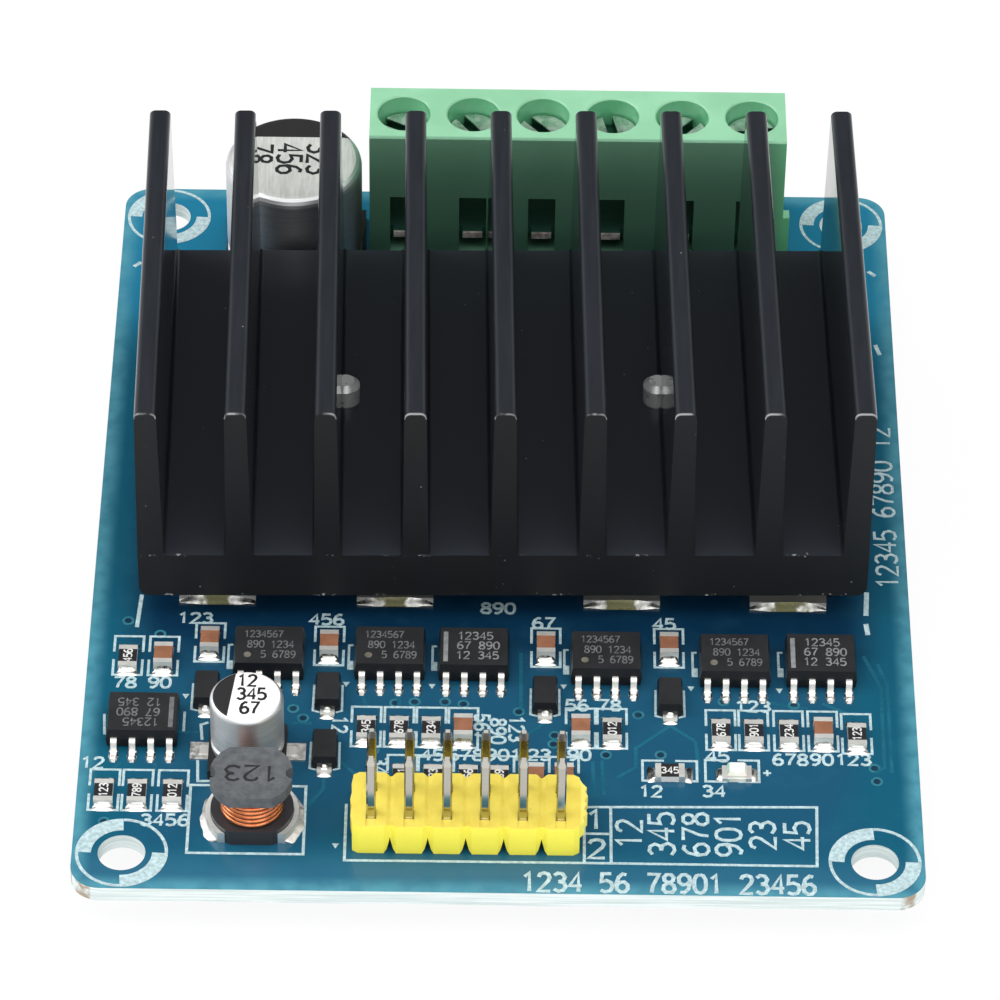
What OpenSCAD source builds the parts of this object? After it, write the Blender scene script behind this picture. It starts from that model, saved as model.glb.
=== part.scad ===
// Dual motor driver module: a circuit board with a finned heatsink clamped over eight power
// transistors, a six-pole terminal block, a pin header, and the control parts along the front.
// Origin at the centre of the board, on its lower face. X runs along the short side, Y to the terminals.

/* [Board] */
// Width of the board, along X
board_w = 57.2; // [57:0.1:66]
// Depth of the control area, from the front edge to the heatsink
control_d = 25.95; // [25.5:0.05:40]
// Thickness of the laminate
board_t = 1.2; // [0.8:0.1:2]
// Radius of the corners
corner_r = 2; // [0.5:0.1:3]
// Diameter of the four mounting holes
mount_hole_d = 3.2; // [2.4:0.1:3.6]
// Distance from a side edge to the mounting holes
mount_inset_x = 3.35; // [3:0.05:4]
// Distance from the front and back edges to the mounting holes
mount_inset_y = 3.25; // [3:0.05:4]

/* [Heatsink] */
// Width across the fins
sink_w = 50.6; // [48:0.1:54]
// Length of the extrusion, along the fins
sink_d = 32.2; // [29:0.1:45]
// Thickness of the base plate
sink_base_t = 3.85; // [2.5:0.05:5]
// Height of the fins above the base plate
fin_h = 13.2; // [8:0.1:20]
// Number of fins
fin_count = 9; // [5:1:11]
// Thickness of a fin at its root
fin_root_t = 1.8; // [1.6:0.1:2.8]
// Thickness of a fin at its tip
fin_tip_t = 1.5; // [1:0.1:1.6]
// Radius of the corners of a fin's tip
fin_tip_r = 0.45; // [0.2:0.05:0.45]
// Radius of the lower edges of the base plate
sink_edge_r = 0.8; // [0.3:0.1:1.2]
// Radius where a fin meets the base plate
fin_fillet_r = 0.25; // [0.1:0.05:0.5]
// Small angle at which the heatsink sits on the board
sink_turn = 1; // [0:0.1:2]
// Offset of the heatsink from the board's centre, along X
sink_x = -0.15; // [-0.4:0.05:0.4]
// Gap from the heatsink to the terminal block
sink_gap = 3.4; // [3:0.1:6]
// Thickness of the thermal pad
pad_t = 0.3; // [0.2:0.05:1]
// How far the pad stops short of the heatsink's edges
pad_margin = 0.8; // [0.2:0.1:2]

/* [Heatsink screws] */
// Diameter of the screw shank
screw_d = 2; // [1.6:0.1:2.5]
// Length of the screw under its head
screw_len = 10; // [8.5:0.1:14]
// Diameter of the screw head
screw_head_d = 3.8; // [3.2:0.1:5]
// Height of the screw head
screw_head_h = 1.5; // [1:0.1:2]
// Distance between the two screws
screw_spacing = 22.1; // [16:0.1:30]
// Diameter of the flat washer
washer_d = 4.8; // [4:0.1:6]
// Thickness of the flat washer
washer_t = 0.3; // [0.2:0.05:0.8]
// Diameter of the spring washer
spring_washer_d = 4; // [3.4:0.1:5]
// Thickness of the spring washer
spring_washer_t = 0.5; // [0.3:0.05:0.9]

/* [Power transistors] */
// Width of the moulded body
fet_w = 6.5; // [6.3:0.05:6.7]
// Length of the moulded body
fet_len = 6.1; // [5.9:0.05:6.3]
// Height of the moulded body above the board
fet_h = 2.1; // [2:0.05:2.5]
// Width of the metal tab
fet_tab_w = 5.35; // [5:0.05:5.5]
// How far the tab reaches out of the body
fet_tab_out = 1; // [0.8:0.05:1.3]
// Thickness of the tab and the leads
fet_metal_t = 0.5; // [0.4:0.02:0.6]
// Width of a lead
fet_lead_w = 0.76; // [0.6:0.02:0.9]
// Distance between neighbouring leads
fet_lead_pitch = 2.28; // [2.2:0.01:2.35]
// How far the outer leads reach out of the body
fet_lead_out = 2.85; // [2.5:0.05:3.1]
// Distance from the heatsink's edge to the tip of a tab
fet_inset = 1.6; // [0.5:0.1:2]

/* [Terminal block] */
// Number of poles
pole_count = 6; // [2:1:6]
// Distance between poles
pole_pitch = 5.08; // [5:0.01:5.08]
// Height of the housing above the board
term_h = 14; // [13:0.1:16]
// Depth of the housing at its foot
term_d = 10; // [9.6:0.1:12]
// Depth of the housing's flat top
term_top_d = 5.7; // [5.5:0.1:6.2]
// Gap from the housing to the back edge of the board
term_edge_gap = 0.45; // [0.2:0.05:2]
// Offset of the housing from the board's centre, along X
term_x = 5.2; // [4:0.1:7]
// Diameter of the screw wells
well_d = 3.84; // [3.5:0.02:4]
// Width of the windows in the front wall
window_w = 2; // [1.6:0.1:2.6]
// Bottom of the windows above the board
window_low = 3.2; // [2.6:0.1:3.6]
// Top of the windows above the board
window_high = 8.35; // [7:0.05:9]
// Diameter of a clamp screw's shank
clamp_screw_d = 2.5; // [2:0.1:2.9]
// Depth from the housing's top to the clamp screw heads
clamp_screw_sunk = 1.5; // [0.8:0.1:2.5]
// Length of a clamp screw's shank
clamp_screw_len = 3.6; // [2.5:0.1:5]
// Width of a clamp across the pole
clamp_w = 4.1; // [3.6:0.05:4.2]
// Depth of a clamp along the wire
clamp_d = 3.3; // [2.6:0.1:3.4]
// Thickness of a clamp's walls
clamp_wall = 0.5; // [0.4:0.05:0.7]
// Thickness of a clamp's threaded top
clamp_top_t = 1.4; // [1:0.1:1.8]
// Thickness of a contact
contact_t = 0.5; // [0.4:0.05:0.6]
// Height of a contact's wire plate above the board
contact_h = 4.2; // [4:0.1:5]
// Width of a solder tail
tail_w = 1; // [0.8:0.05:1.1]
// How far the terminal tails stand out below the board
term_tail = 2.3; // [1.2:0.1:3]

/* [Pin header] */
// Number of pins in a row
header_columns = 6; // [2:1:8]
// Number of rows
header_rows = 2; // [1:1:2]
// Distance between pins
header_pitch = 2.54; // [2.5:0.01:2.6]
// Height of the moulded strip
header_h = 2.54; // [2:0.05:3]
// Side of a square pin
pin_side = 0.64; // [0.5:0.02:0.7]
// How far the pins stand above the strip
pin_up = 5.35; // [4:0.05:8]
// How far the pins stand out below the board
pin_tail = 1.8; // [1:0.1:2.5]
// Depth of the notches between the strip's units
header_notch = 0.4; // [0.2:0.05:0.8]
// Offset of the header from the board's centre, along X
header_x = -2.2; // [-5:0.1:3]
// Gap from the front edge of the board to the strip
header_edge_gap = 3.5; // [2:0.1:5]

/* [Bulk capacitor] */
// Diameter of the can
bulk_d = 10; // [9:0.1:10.4]
// Height of the capacitor above the board
bulk_h = 10.2; // [8:0.1:13]
// Gap from the terminal block to the capacitor's base
bulk_side_gap = 0.4; // [0.2:0.05:1]
// Gap from the heatsink to the capacitor's base
bulk_gap = 0.35; // [0.2:0.05:1.5]
// Width of the bulk capacitor's leads
bulk_lead_w = 1; // [0.8:0.1:1.3]

/* [Small capacitor] */
// Diameter of the can
small_d = 5; // [4:0.1:5.4]
// Height of the capacitor above the board
small_h = 5.4; // [4.5:0.1:6.5]
// Width of the small capacitor's leads
small_lead_w = 0.8; // [0.6:0.05:1]

/* [Inductor] */
// Diameter of the drum core's flanges
drum_d = 5.6; // [5.2:0.1:6]
// Depth of the flanges between their flats
drum_flat_d = 4.8; // [4.4:0.1:5.1]
// Height of the inductor above the board
drum_h = 4.5; // [4:0.1:5.5]
// Thickness of the upper flange
flange_top_t = 0.9; // [0.6:0.05:1.2]
// Thickness of the lower flange
flange_low_t = 1.25; // [1:0.05:1.5]
// Diameter of the copper winding
winding_d = 4.3; // [4:0.1:4.6]
// Diameter of the core's post inside the winding
drum_post_d = 2.4; // [2:0.1:3]

/* [Integrated circuits] */
// Length of the moulded body, across its rows of leads
ic_len = 4.9; // [4.8:0.02:5]
// Width of the moulded body, between its rows of leads
ic_w = 3.9; // [3.8:0.02:4]
// Height of the body's top above the board
ic_h = 1.6; // [1.4:0.05:1.75]
// Gap between the body and the board
ic_standoff = 0.12; // [0.1:0.01:0.25]
// Distance between neighbouring leads
ic_pitch = 1.27; // [1.25:0.01:1.27]
// Width of a lead
ic_lead_w = 0.42; // [0.35:0.01:0.5]
// Thickness of a lead
ic_lead_t = 0.2; // [0.15:0.01:0.25]
// Distance between the tips of opposite leads
ic_span = 6; // [5.8:0.05:6.2]

/* [Chips and diodes] */
// Length of a chip resistor or capacitor
chip_len = 2; // [1.8:0.05:2.1]
// Width of a chip resistor or capacitor
chip_w = 1.25; // [1.1:0.05:1.35]
// Height of a chip resistor
resistor_h = 0.5; // [0.4:0.05:0.6]
// Height of a chip capacitor
capacitor_h = 0.85; // [0.6:0.05:1.25]
// Length of the metal at each end of a chip
chip_end = 0.4; // [0.3:0.05:0.55]
// Length of a diode's body
diode_len = 2.85; // [2.5:0.05:3]
// Width of a diode's body
diode_w = 1.75; // [1.5:0.05:1.9]
// Height of a diode above the board
diode_h = 1.1; // [1:0.05:1.35]
// Distance between the tips of a diode's leads
diode_span = 3.75; // [3.5:0.05:3.9]
// Width of a diode's flat lead
diode_lead_w = 1; // [0.8:0.05:1.1]
// Height of the indicator's lens above its base
lens_h = 0.5; // [0.3:0.05:0.8]

/* [Hidden] */
$fn = 48;

board_d = control_d + sink_d + sink_gap + term_d + term_edge_gap;
front_edge = -board_d / 2;
back_edge = board_d / 2;
top = board_t;

// Clearance of a part that is pushed or laid into its place
fit = 0.03;
// Clearance of the heatsink screws in the washers; the board and the pad have more
screw_fit = 0.1;
// Clearance of the header's pins and of the terminal tails in the board's holes
pin_hole_gap = 0.05;
tail_hole_gap = 0.19;
// A cut runs past the face that it starts from by this much
past = 0.5;

sink_front = front_edge + control_d;
sink_back = sink_front + sink_d;
sink_y = sink_front + sink_d / 2;
sink_low = top + fet_h + pad_t;
fin_pitch = (sink_w - fin_root_t) / (fin_count - 1);
fin_neck = fin_h - fin_tip_r;
// The screws start under the board, below their washers, and are tapped a little past their tips
screw_low = -washer_t - spring_washer_t;
tap_deep = screw_low + screw_len - sink_low + 0.5;

term_w = pole_count * pole_pitch;
// Gap at each side of the housing to the next block in a row
term_side_gap = 0.05;
term_side = term_w / 2 - term_side_gap;
term_front = sink_back + sink_gap;
well_y = term_top_d / 2;
// Clearance round a screw head in its well, round a tongue in its window and round a clamp
well_gap = 0.15;
tongue_gap = 0.275;
chamber_gap = 0.15;
clamp_screw_head_d = well_d - 2 * well_gap;
clamp_screw_head_h = 1.4;
clamp_inner_w = clamp_w - 2 * clamp_wall;
plate_w = clamp_inner_w - 2 * fit;
tongue_w = window_w - 2 * tongue_gap;
clamp_low = contact_h - clamp_wall - 0.1;
wire_low = contact_h + contact_t;
// Room between a clamp and its screw's head, and over the wire mouth inside the clamp
head_room = 1;
wire_room = 0.4;
clamp_high = term_h - clamp_screw_sunk - clamp_screw_head_h - head_room;
mouth_h = clamp_high - clamp_top_t - wire_room - wire_low;
// Thickness of the front wall of the housing, in front of the clamps
term_wall = well_y - clamp_d / 2 - chamber_gap;
tail_y = well_y + clamp_d / 2 + 0.2 + contact_t / 2;
// Each clamp screw was left at its own angle
clamp_screw_turns = [-30, -55, -50, -78, 50, 10];

strip_w = header_columns * header_pitch;
strip_d = header_rows * header_pitch;
strip_y = front_edge + header_edge_gap + strip_d / 2;
// Row of chips behind the header, from the front edge
behind_header = header_edge_gap + strip_d + 0.75 + chip_len / 2;

can_margin = 0.3;
bulk_base = bulk_d + can_margin;
bulk_base_h = 0.9;
bulk_lead_t = 0.3;
bulk_lead_out = 0.5;
bulk_x = term_x - term_w / 2 - bulk_side_gap - bulk_base / 2;
bulk_y = sink_back + bulk_gap + bulk_base / 2;
small_base = small_d + can_margin;
small_base_h = 0.8;
small_lead_t = 0.2;
small_lead_out = 0.65;

ic_up = (ic_standoff + ic_h) / 2;
ic_lead_out = 0.1;
diode_lead_t = 0.18;
// How far a small package's lead reaches into its body
lead_in = 0.3;
// How far the metal ends of a chip stand proud of its body
end_wrap = 0.02;
led_base_h = 0.35;
led_lens_w = 1.3;

// Places of the transistors along X, the same in both rows
fet_x = [-19.85, -7.42, 8.45, 20.1];
// Places of the control parts: X from the board's centre, Y from its front edge
driver_at = [[-16, 21.6], [-7.65, 21.7], [7.3, 21.5], [16.2, 21.4]];
comparator_at = [[-1.84, 21.7], [22.15, 21.5]];
regulator_at = [[-24.4, 15]];
diode_at = [[-20.2, 18.2], [-11.85, 18.2], [-11.9, 12.7], [3.1, 18.1], [11.7, 18.1]];
resistor_at = [
    [-25.8, 21.5], [-26.75, 8.6], [-24.5, 8.6], [-22.1, 8.6],
    [-9.15, 14.9], [-6.9, 14.9], [-4.7, 14.9], [7.7, 15],
    [15.15, 15], [17.4, 15], [19.8, 15], [24.45, 14.8],
    [-6.6, behind_header], [-4.5, behind_header], [-2.1, behind_header], [0, behind_header]
];
flat_resistor_at = [11.6, 11.1];
capacitor_at = [
    [-23.35, 21.5], [-20.2, 23.1], [-11.9, 22.9], [3.15, 23], [11.7, 23.1],
    [-2.5, 14.9], [5.55, 15], [22.15, 15], [2.4, behind_header], [4.4, behind_header]
];
led_at = [16.15, 11.15];
drum_at = [-16.6, 6.5];
small_at = [-17.15, 12.8];

TRANSISTORS = [for (i = [1 : 8]) str("transistor_", i)];
ICS = [
    "gate_driver_1", "gate_driver_2", "gate_driver_3", "gate_driver_4",
    "comparator_1", "comparator_2", "regulator"
];
ic_at = concat(driver_at, comparator_at, regulator_at);

// Points along an arc about a centre, from one angle to another
function arc(centre, r, from, to, steps = 4) =
    [for (i = [0 : steps]) let (a = from + (to - from) * i / steps) centre + r * [cos(a), sin(a)]];

// Puts a part on the board, at X from the centre and Y from the front edge
module on_board(place) {
    translate([place[0], front_edge + place[1], top])
        children();
}

// The heatsink's own frame: turned a little, with Z still measured from the board's lower face
module on_sink_axis() {
    translate([sink_x, sink_y, 0])
        rotate(sink_turn)
            children();
}

// The places of the two heatsink screws, in the heatsink's frame
module at_sink_screws() {
    for (side = [-1, 1])
        translate([side * screw_spacing / 2, 0, 0])
            children();
}

// Extrudes a profile along X, with its own axes along Y and Z
module along_x(length) {
    rotate([90, 0, 90])
        linear_extrude(length, center = true)
            children();
}

// Extrudes a profile along Y, with its own axes along X and Z
module along_y(length) {
    rotate([90, 0, 0])
        linear_extrude(length, center = true)
            children();
}

// Rectangle on the X axis, centred, with two rounded lower corners
module rounded_foot(w, h, r) {
    translate([-w / 2 + r, 0])
        square([w - 2 * r, h]);
    translate([-w / 2, r])
        square([w, h - r]);
    for (side = [-1, 1])
        translate([side * (w / 2 - r), r])
            circle(r);
}

// Block on the XY plane, centred along X and Y
module block(size, low = 0) {
    translate([0, 0, low + size[2] / 2])
        cube(size, center = true);
}

// Side view of a moulded package: widest at its parting line, narrower at its top and foot
function moulded_outline(half, low, high, draft) = [
    [-half + draft / 2, low], [half - draft / 2, low], [half, (low + high) / 2],
    [half - draft, high], [-half + draft, high], [-half, (low + high) / 2]
];

// Moulded package, w along X and d along Y
module moulded(w, d, low, high, draft) {
    intersection() {
        along_y(d + past)
            polygon(moulded_outline(w / 2, low, high, draft));
        along_x(w + past)
            polygon(moulded_outline(d / 2, low, high, draft));
    }
}

// Gull-wing lead along +X: level at height up as far as out, then down to a foot that ends at reach
module gull_lead(start, out, reach, up, t, w) {
    lean = 15;
    bend_r = 0.8 * t;
    slope = (up - t / 2 - 2 * bend_r * (1 - sin(lean))) / cos(lean);
    high = [out, up - bend_r];
    low = [out + 2 * bend_r * cos(lean) + slope * sin(lean), t / 2 + bend_r];
    along_y(w)
        polygon(concat(
            [[start, up + t / 2]],
            arc(high, bend_r + t / 2, 90, lean),
            arc(low, bend_r - t / 2, 180 + lean, 270),
            [[reach, t], [reach, 0]],
            arc(low, bend_r + t / 2, 270, 180 + lean),
            arc(high, bend_r - t / 2, lean, 90),
            [[start, up - t / 2]]
        ));
}

// Circuit board

module board_outline() {
    w = board_w - 2 * corner_r;
    d = board_d - 2 * corner_r;
    square([w, board_d], center = true);
    square([board_w, d], center = true);
    for (x = [-w / 2, w / 2])
        for (y = [-d / 2, d / 2])
            translate([x, y])
                circle(corner_r);
}

module drill(d) {
    translate([0, 0, -past])
        cylinder(h = board_t + 2 * past, d = d);
}

module circuit_board() {
    color("steelblue")
        difference() {
            linear_extrude(board_t)
                board_outline();
            for (x = [-1, 1])
                for (y = [-1, 1])
                    translate([x * (board_w / 2 - mount_inset_x), y * (board_d / 2 - mount_inset_y), 0])
                        drill(mount_hole_d);
            on_sink_axis()
                at_sink_screws()
                    drill(screw_d + 4 * screw_fit);
            at_poles()
                translate([0, tail_y, 0])
                    drill(norm([tail_w, contact_t]) + 2 * tail_hole_gap);
            at_pins()
                drill(norm([pin_side, pin_side]) + 2 * pin_hole_gap);
        }
}

// Heatsink and what clamps it

// Middle of fin i along X
function fin_x(i) = (i - (fin_count - 1) / 2) * fin_pitch;

// Space between fin i and the next one, above the base plate, with rounded corners at its floor
module channel(i) {
    r = fin_fillet_r;
    left = fin_x(i) + fin_root_t / 2;
    right = fin_x(i + 1) - fin_root_t / 2;
    tip_left = fin_x(i) + fin_tip_t / 2;
    tip_right = fin_x(i + 1) - fin_tip_t / 2;
    polygon([[left + r, 0], [right - r, 0], [right, r], [tip_right, fin_neck],
             [tip_right, fin_neck + past], [tip_left, fin_neck + past], [tip_left, fin_neck], [left, r]]);
    for (x = [left + r, right - r])
        translate([x, r])
            circle(r);
}

// What an outer fin's leaning outer face leaves free, at one side
module outer_lean(side) {
    tip_side = (sink_w - fin_root_t + fin_tip_t) / 2;
    polygon([[side * sink_w / 2, 0], [side * tip_side, fin_neck], [side * tip_side, fin_neck + past],
             [side * (sink_w / 2 + past), fin_neck + past], [side * (sink_w / 2 + past), 0]]);
}

module sink_profile() {
    difference() {
        rounded_foot(sink_w, sink_base_t + fin_neck, sink_edge_r);
        translate([0, sink_base_t]) {
            for (i = [0 : fin_count - 2])
                channel(i);
            outer_lean(-1);
            outer_lean(1);
        }
    }
    for (i = [0 : fin_count - 1])
        translate([fin_x(i), sink_base_t + fin_h])
            rotate(180)
                rounded_foot(fin_tip_t, 2 * fin_tip_r, fin_tip_r);
}

// The tapped holes bite into the roots of the fins beside them
module heatsink() {
    color([0.1, 0.1, 0.12])
        on_sink_axis()
            translate([0, 0, sink_low])
                difference() {
                    along_y(sink_d)
                        sink_profile();
                    at_sink_screws()
                        translate([0, 0, -past])
                            cylinder(h = tap_deep + past, d = screw_d + 2 * fit);
                }
}

module thermal_pad() {
    color("lightgrey")
        on_sink_axis()
            difference() {
                block([sink_w - 2 * pad_margin, sink_d - 2 * pad_margin, pad_t], top + fet_h);
                at_sink_screws()
                    translate([0, 0, top + fet_h - past])
                        cylinder(h = pad_t + 2 * past, d = screw_d + 6 * screw_fit);
            }
}

// Pan-head screw that points up: the head's upper face is at Z = 0
module pan_screw() {
    tip = 0.4;
    edge_r = 0.7;
    recess_w = 0.5;
    recess_l = 0.55 * screw_head_d;
    recess_deep = 0.6 * screw_head_h;
    difference() {
        union() {
            rotate_extrude()
                polygon(concat(
                    [[0, -screw_head_h]],
                    arc([screw_head_d / 2 - edge_r, -screw_head_h + edge_r], edge_r, -90, 0),
                    [[screw_head_d / 2, 0], [0, 0]]
                ));
            cylinder(h = screw_len - tip, d = screw_d);
            translate([0, 0, screw_len - tip])
                cylinder(h = tip, d1 = screw_d, d2 = screw_d - 2 * tip);
        }
        for (a = [0, 90])
            rotate(a)
                block([recess_l, recess_w, 2 * recess_deep], -screw_head_h - recess_deep);
    }
}

module heatsink_screws() {
    color("silver")
        on_sink_axis()
            at_sink_screws()
                translate([0, 0, screw_low])
                    pan_screw();
}

module ring(d, bore, t) {
    difference() {
        cylinder(h = t, d = d);
        translate([0, 0, -past])
            cylinder(h = t + 2 * past, d = bore);
    }
}

module heatsink_washers() {
    color("gainsboro")
        on_sink_axis()
            at_sink_screws()
                translate([0, 0, -washer_t])
                    ring(washer_d, screw_d + 2 * screw_fit, washer_t);
}

// Split rings, each with a slanting slot
module heatsink_spring_washers() {
    slant = 20;
    slot = 0.25;
    color("grey")
        on_sink_axis()
            at_sink_screws()
                translate([0, 0, screw_low])
                    difference() {
                        ring(spring_washer_d, screw_d + 2 * screw_fit, spring_washer_t);
                        translate([spring_washer_d / 2, 0, spring_washer_t / 2])
                            rotate([slant, 0, 0])
                                cube([spring_washer_d, slot, 4 * spring_washer_t], center = true);
                    }
}

// Power transistors

// Places of the transistors: 0 to 3 in the front row, 4 to 7 in the back row
module at_transistor(i) {
    row = i < 4 ? -1 : 1;
    reach = sink_d / 2 - fet_inset - fet_tab_out - fet_len / 2;
    translate([fet_x[i % 4], sink_y + row * reach, top])
        rotate(row < 0 ? 0 : 180)
            children();
}

// The tab with its middle lead, and the two outer leads; the tab points to -Y
module leadframe() {
    up = fet_h / 2;
    inside = 0.8;
    level = 0.75;
    stub = 0.9;
    half = fet_len / 2;
    tab_len = fet_tab_out + fet_len - inside;
    riser_y = half - inside - fet_metal_t;
    translate([0, -half - fet_tab_out + tab_len / 2, 0])
        block([fet_tab_w, tab_len, fet_metal_t]);
    translate([0, riser_y + fet_metal_t / 2, 0])
        block([fet_lead_w, fet_metal_t, up + fet_metal_t / 2]);
    translate([0, riser_y + (inside + fet_metal_t + stub) / 2, 0])
        block([fet_lead_w, inside + fet_metal_t + stub, fet_metal_t], up - fet_metal_t / 2);
    for (side = [-1, 1])
        translate([side * fet_lead_pitch, 0, 0])
            rotate(90)
                gull_lead(half - inside, half + level, half + fet_lead_out,
                          up, fet_metal_t, fet_lead_w);
}

module transistor_leadframe(i) {
    color("silver")
        at_transistor(i)
            leadframe();
}

module transistor_body(i) {
    draft = 0.3;
    color([0.15, 0.15, 0.15])
        at_transistor(i)
            difference() {
                moulded(fet_w, fet_len, 0, fet_h, draft);
                leadframe();
            }
}

// Terminal block

// The places of the poles: the origin is at the housing's front face, on the board's lower face
module at_poles() {
    for (i = [0 : pole_count - 1])
        translate([term_x + (i - (pole_count - 1) / 2) * pole_pitch, term_front, 0])
            children();
}

// Side view of the housing: flat top at the front, sloped shoulder and wire face at the back
function housing_outline() =
    let (edge = 0.1, shoulder_drop = 3, shoulder_out = 0.3, foot = 0.6,
         face_top = wire_low + mouth_h + 1.1)
        [[0, 0], [0, term_h - edge], [edge, term_h], [term_top_d, term_h],
         [term_top_d + shoulder_out, term_h - shoulder_drop], [term_d, face_top],
         [term_d, foot], [term_d - foot, 0]];

// Rib at the right side, and with a larger grow the groove for it at the left side, which join one
// block to the next
module joint_rib(grow) {
    rib_w = 0.5;
    rib_d = 0.9;
    rib_h = 6.55;
    inset = 0.3;
    translate([0, term_front + inset + rib_d / 2, top])
        block([2 * (rib_w + grow), rib_d + 2 * grow, rib_h + grow]);
}

// Bevel round the outer end of a wire mouth, w wide
module mouth_bevel(w) {
    bevel = 0.15;
    deep = 0.6;
    half_h = mouth_h / 2;
    intersection() {
        along_x(w + 2 * bevel)
            polygon([[-deep, -half_h], [past, -half_h - bevel],
                     [past, half_h + bevel], [-deep, half_h]]);
        linear_extrude(mouth_h + 2 * bevel, center = true)
            polygon([[-w / 2, -deep], [w / 2, -deep], [w / 2 + bevel, past], [-w / 2 - bevel, past]]);
    }
}

// What is hollow in one pole, seen from its place on the board: the screw well, the clamp's
// chamber, the window, the wire mouth, and the slots for the contact's plate and tail
module pole_hollow() {
    well_edge = 0.1;
    chamber_over = 0.1;
    plate_back = tail_y + contact_t / 2 + fit;
    mouth_d = term_d - well_y;
    translate([0, well_y, 0]) {
        translate([0, 0, clamp_high])
            cylinder(h = term_h - clamp_high + past, d = well_d);
        translate([0, 0, term_h - well_edge])
            cylinder(h = 2 * well_edge, d1 = well_d, d2 = well_d + 4 * well_edge);
        block([clamp_w + chamber_gap, clamp_d + 2 * chamber_gap, clamp_high - clamp_low + 2 * chamber_over],
              clamp_low - chamber_over);
        translate([0, mouth_d / 2 + past / 2, 0])
            block([clamp_inner_w, mouth_d + past, mouth_h], wire_low);
        translate([0, (plate_back - well_y) / 2, 0])
            block([plate_w + 2 * fit, plate_back - well_y, contact_t + 2 * fit], contact_h - fit);
    }
    block([window_w, 2 * (term_wall + past), window_high - window_low], window_low);
    translate([0, term_d, wire_low + mouth_h / 2])
        mouth_bevel(clamp_inner_w);
    translate([0, tail_y, 0])
        block([tail_w + 2 * fit, contact_t + 2 * fit, contact_h + past], -past);
}

module terminal_housing() {
    color("mediumseagreen")
        difference() {
            union() {
                translate([term_x, term_front, top])
                    along_x(2 * term_side)
                        polygon(housing_outline());
                translate([term_x + term_side, 0, 0])
                    joint_rib(0);
            }
            translate([term_x - term_side, 0, 0])
                joint_rib(fit);
            at_poles()
                translate([0, 0, top])
                    pole_hollow();
        }
}

// Slotted clamp screw, with the head's lower face at Z = 0
module clamp_screw() {
    slot_w = 0.75;
    slot_deep = 0.8;
    difference() {
        union() {
            cylinder(h = clamp_screw_head_h, d = clamp_screw_head_d);
            translate([0, 0, -clamp_screw_len])
                cylinder(h = clamp_screw_len + past, d = clamp_screw_d);
        }
        block([clamp_screw_head_d + past, slot_w, 2 * slot_deep], clamp_screw_head_h - slot_deep);
    }
}

module terminal_screws() {
    seat = top + term_h - clamp_screw_sunk - clamp_screw_head_h;
    color("silver")
        for (i = [0 : pole_count - 1])
            translate([term_x + (i - (pole_count - 1) / 2) * pole_pitch, term_front + well_y, seat])
                rotate(clamp_screw_turns[i])
                    clamp_screw();
}

// Closed frame that the wire and the contact's plate lie in, with a tapped top
module terminal_clamps() {
    inner_low = clamp_low + clamp_wall;
    inner_high = clamp_high - clamp_top_t;
    color("lightgrey")
        at_poles()
            translate([0, well_y, top])
                difference() {
                    block([clamp_w, clamp_d, clamp_high - clamp_low], clamp_low);
                    block([clamp_inner_w, clamp_d + past, inner_high - inner_low], inner_low);
                    translate([0, 0, inner_high - past])
                        cylinder(h = clamp_top_t + 2 * past, d = clamp_screw_d + 2 * fit);
                }
}

// Wire plate through the clamp, its tongue in the window and its tail through the board
module terminal_contacts() {
    plate_front = term_wall + fit;
    plate_back = tail_y + contact_t / 2;
    tongue_front = 0.35;
    tail_low = -board_t - term_tail;
    color("lightgrey")
        at_poles()
            translate([0, 0, top]) {
                translate([0, (plate_front + plate_back) / 2, 0])
                    block([plate_w, plate_back - plate_front, contact_t], contact_h);
                translate([0, (tongue_front + plate_front + past) / 2, 0])
                    block([tongue_w, plate_front + past - tongue_front, contact_t], contact_h);
                translate([0, tail_y, 0])
                    block([tail_w, contact_t, contact_h + contact_t / 2 - tail_low], tail_low);
            }
}

// Pin header

// The places of the pins, on the board's lower face
module at_pins() {
    for (i = [0 : header_columns - 1])
        for (j = [0 : header_rows - 1])
            translate([header_x + (i - (header_columns - 1) / 2) * header_pitch,
                       strip_y + (j - (header_rows - 1) / 2) * header_pitch, 0])
                children();
}

// One long side of the strip from left to right, with a notch between each two units
function notched_side(side) = [
    for (i = [0 : header_columns])
        let (x = -strip_w / 2 + i * header_pitch, y = side * strip_d / 2,
             n = header_notch, deep = y - side * 0.65 * n)
            each i == 0 ? [[x, deep], [x + n, y]]
                : i == header_columns ? [[x - n, y], [x, deep]]
                : [[x - n, y], [x - n / 4, deep], [x + n / 4, deep], [x + n, y]]
];

// What is left of the web at an end where the strip was snapped off, seen from above
module snapped_web(side, torn) {
    low = 1.3;
    half = strip_d / 2 - header_notch;
    translate([side * strip_w / 2, 0, low])
        linear_extrude(header_h - low)
            polygon(concat(
                [[-side * past, -half], [-side * past, half]],
                [for (i = [len(torn) - 1 : -1 : 0])
                    [side * torn[i], (2 * i / (len(torn) - 1) - 1) * half]]
            ));
}

// Arch under the strip between two units, flared at its foot
module foot_arch() {
    arch_w = 0.84;
    arch_h = 1.3;
    side = [[0.5, 0], [0.26, 0.2], [0.12, 0.55], [0, 1]];
    half = [for (p = side) [p[0] * arch_w, p[1] * arch_h]];
    along_y(strip_d + past)
        polygon(concat(
            [[-half[0][0], -past], [half[0][0], -past]],
            half,
            [for (i = [len(half) - 2 : -1 : 0]) [-half[i][0], half[i][1]]]
        ));
}

// Shallow valley across the top of the strip between two units
module top_valley() {
    valley_w = 0.5;
    valley_deep = 0.12;
    translate([0, 0, header_h])
        along_y(strip_d + past)
            polygon([[-valley_w / 2, 0], [0, -valley_deep], [valley_w / 2, 0],
                     [valley_w / 2, past], [-valley_w / 2, past]]);
}

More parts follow.
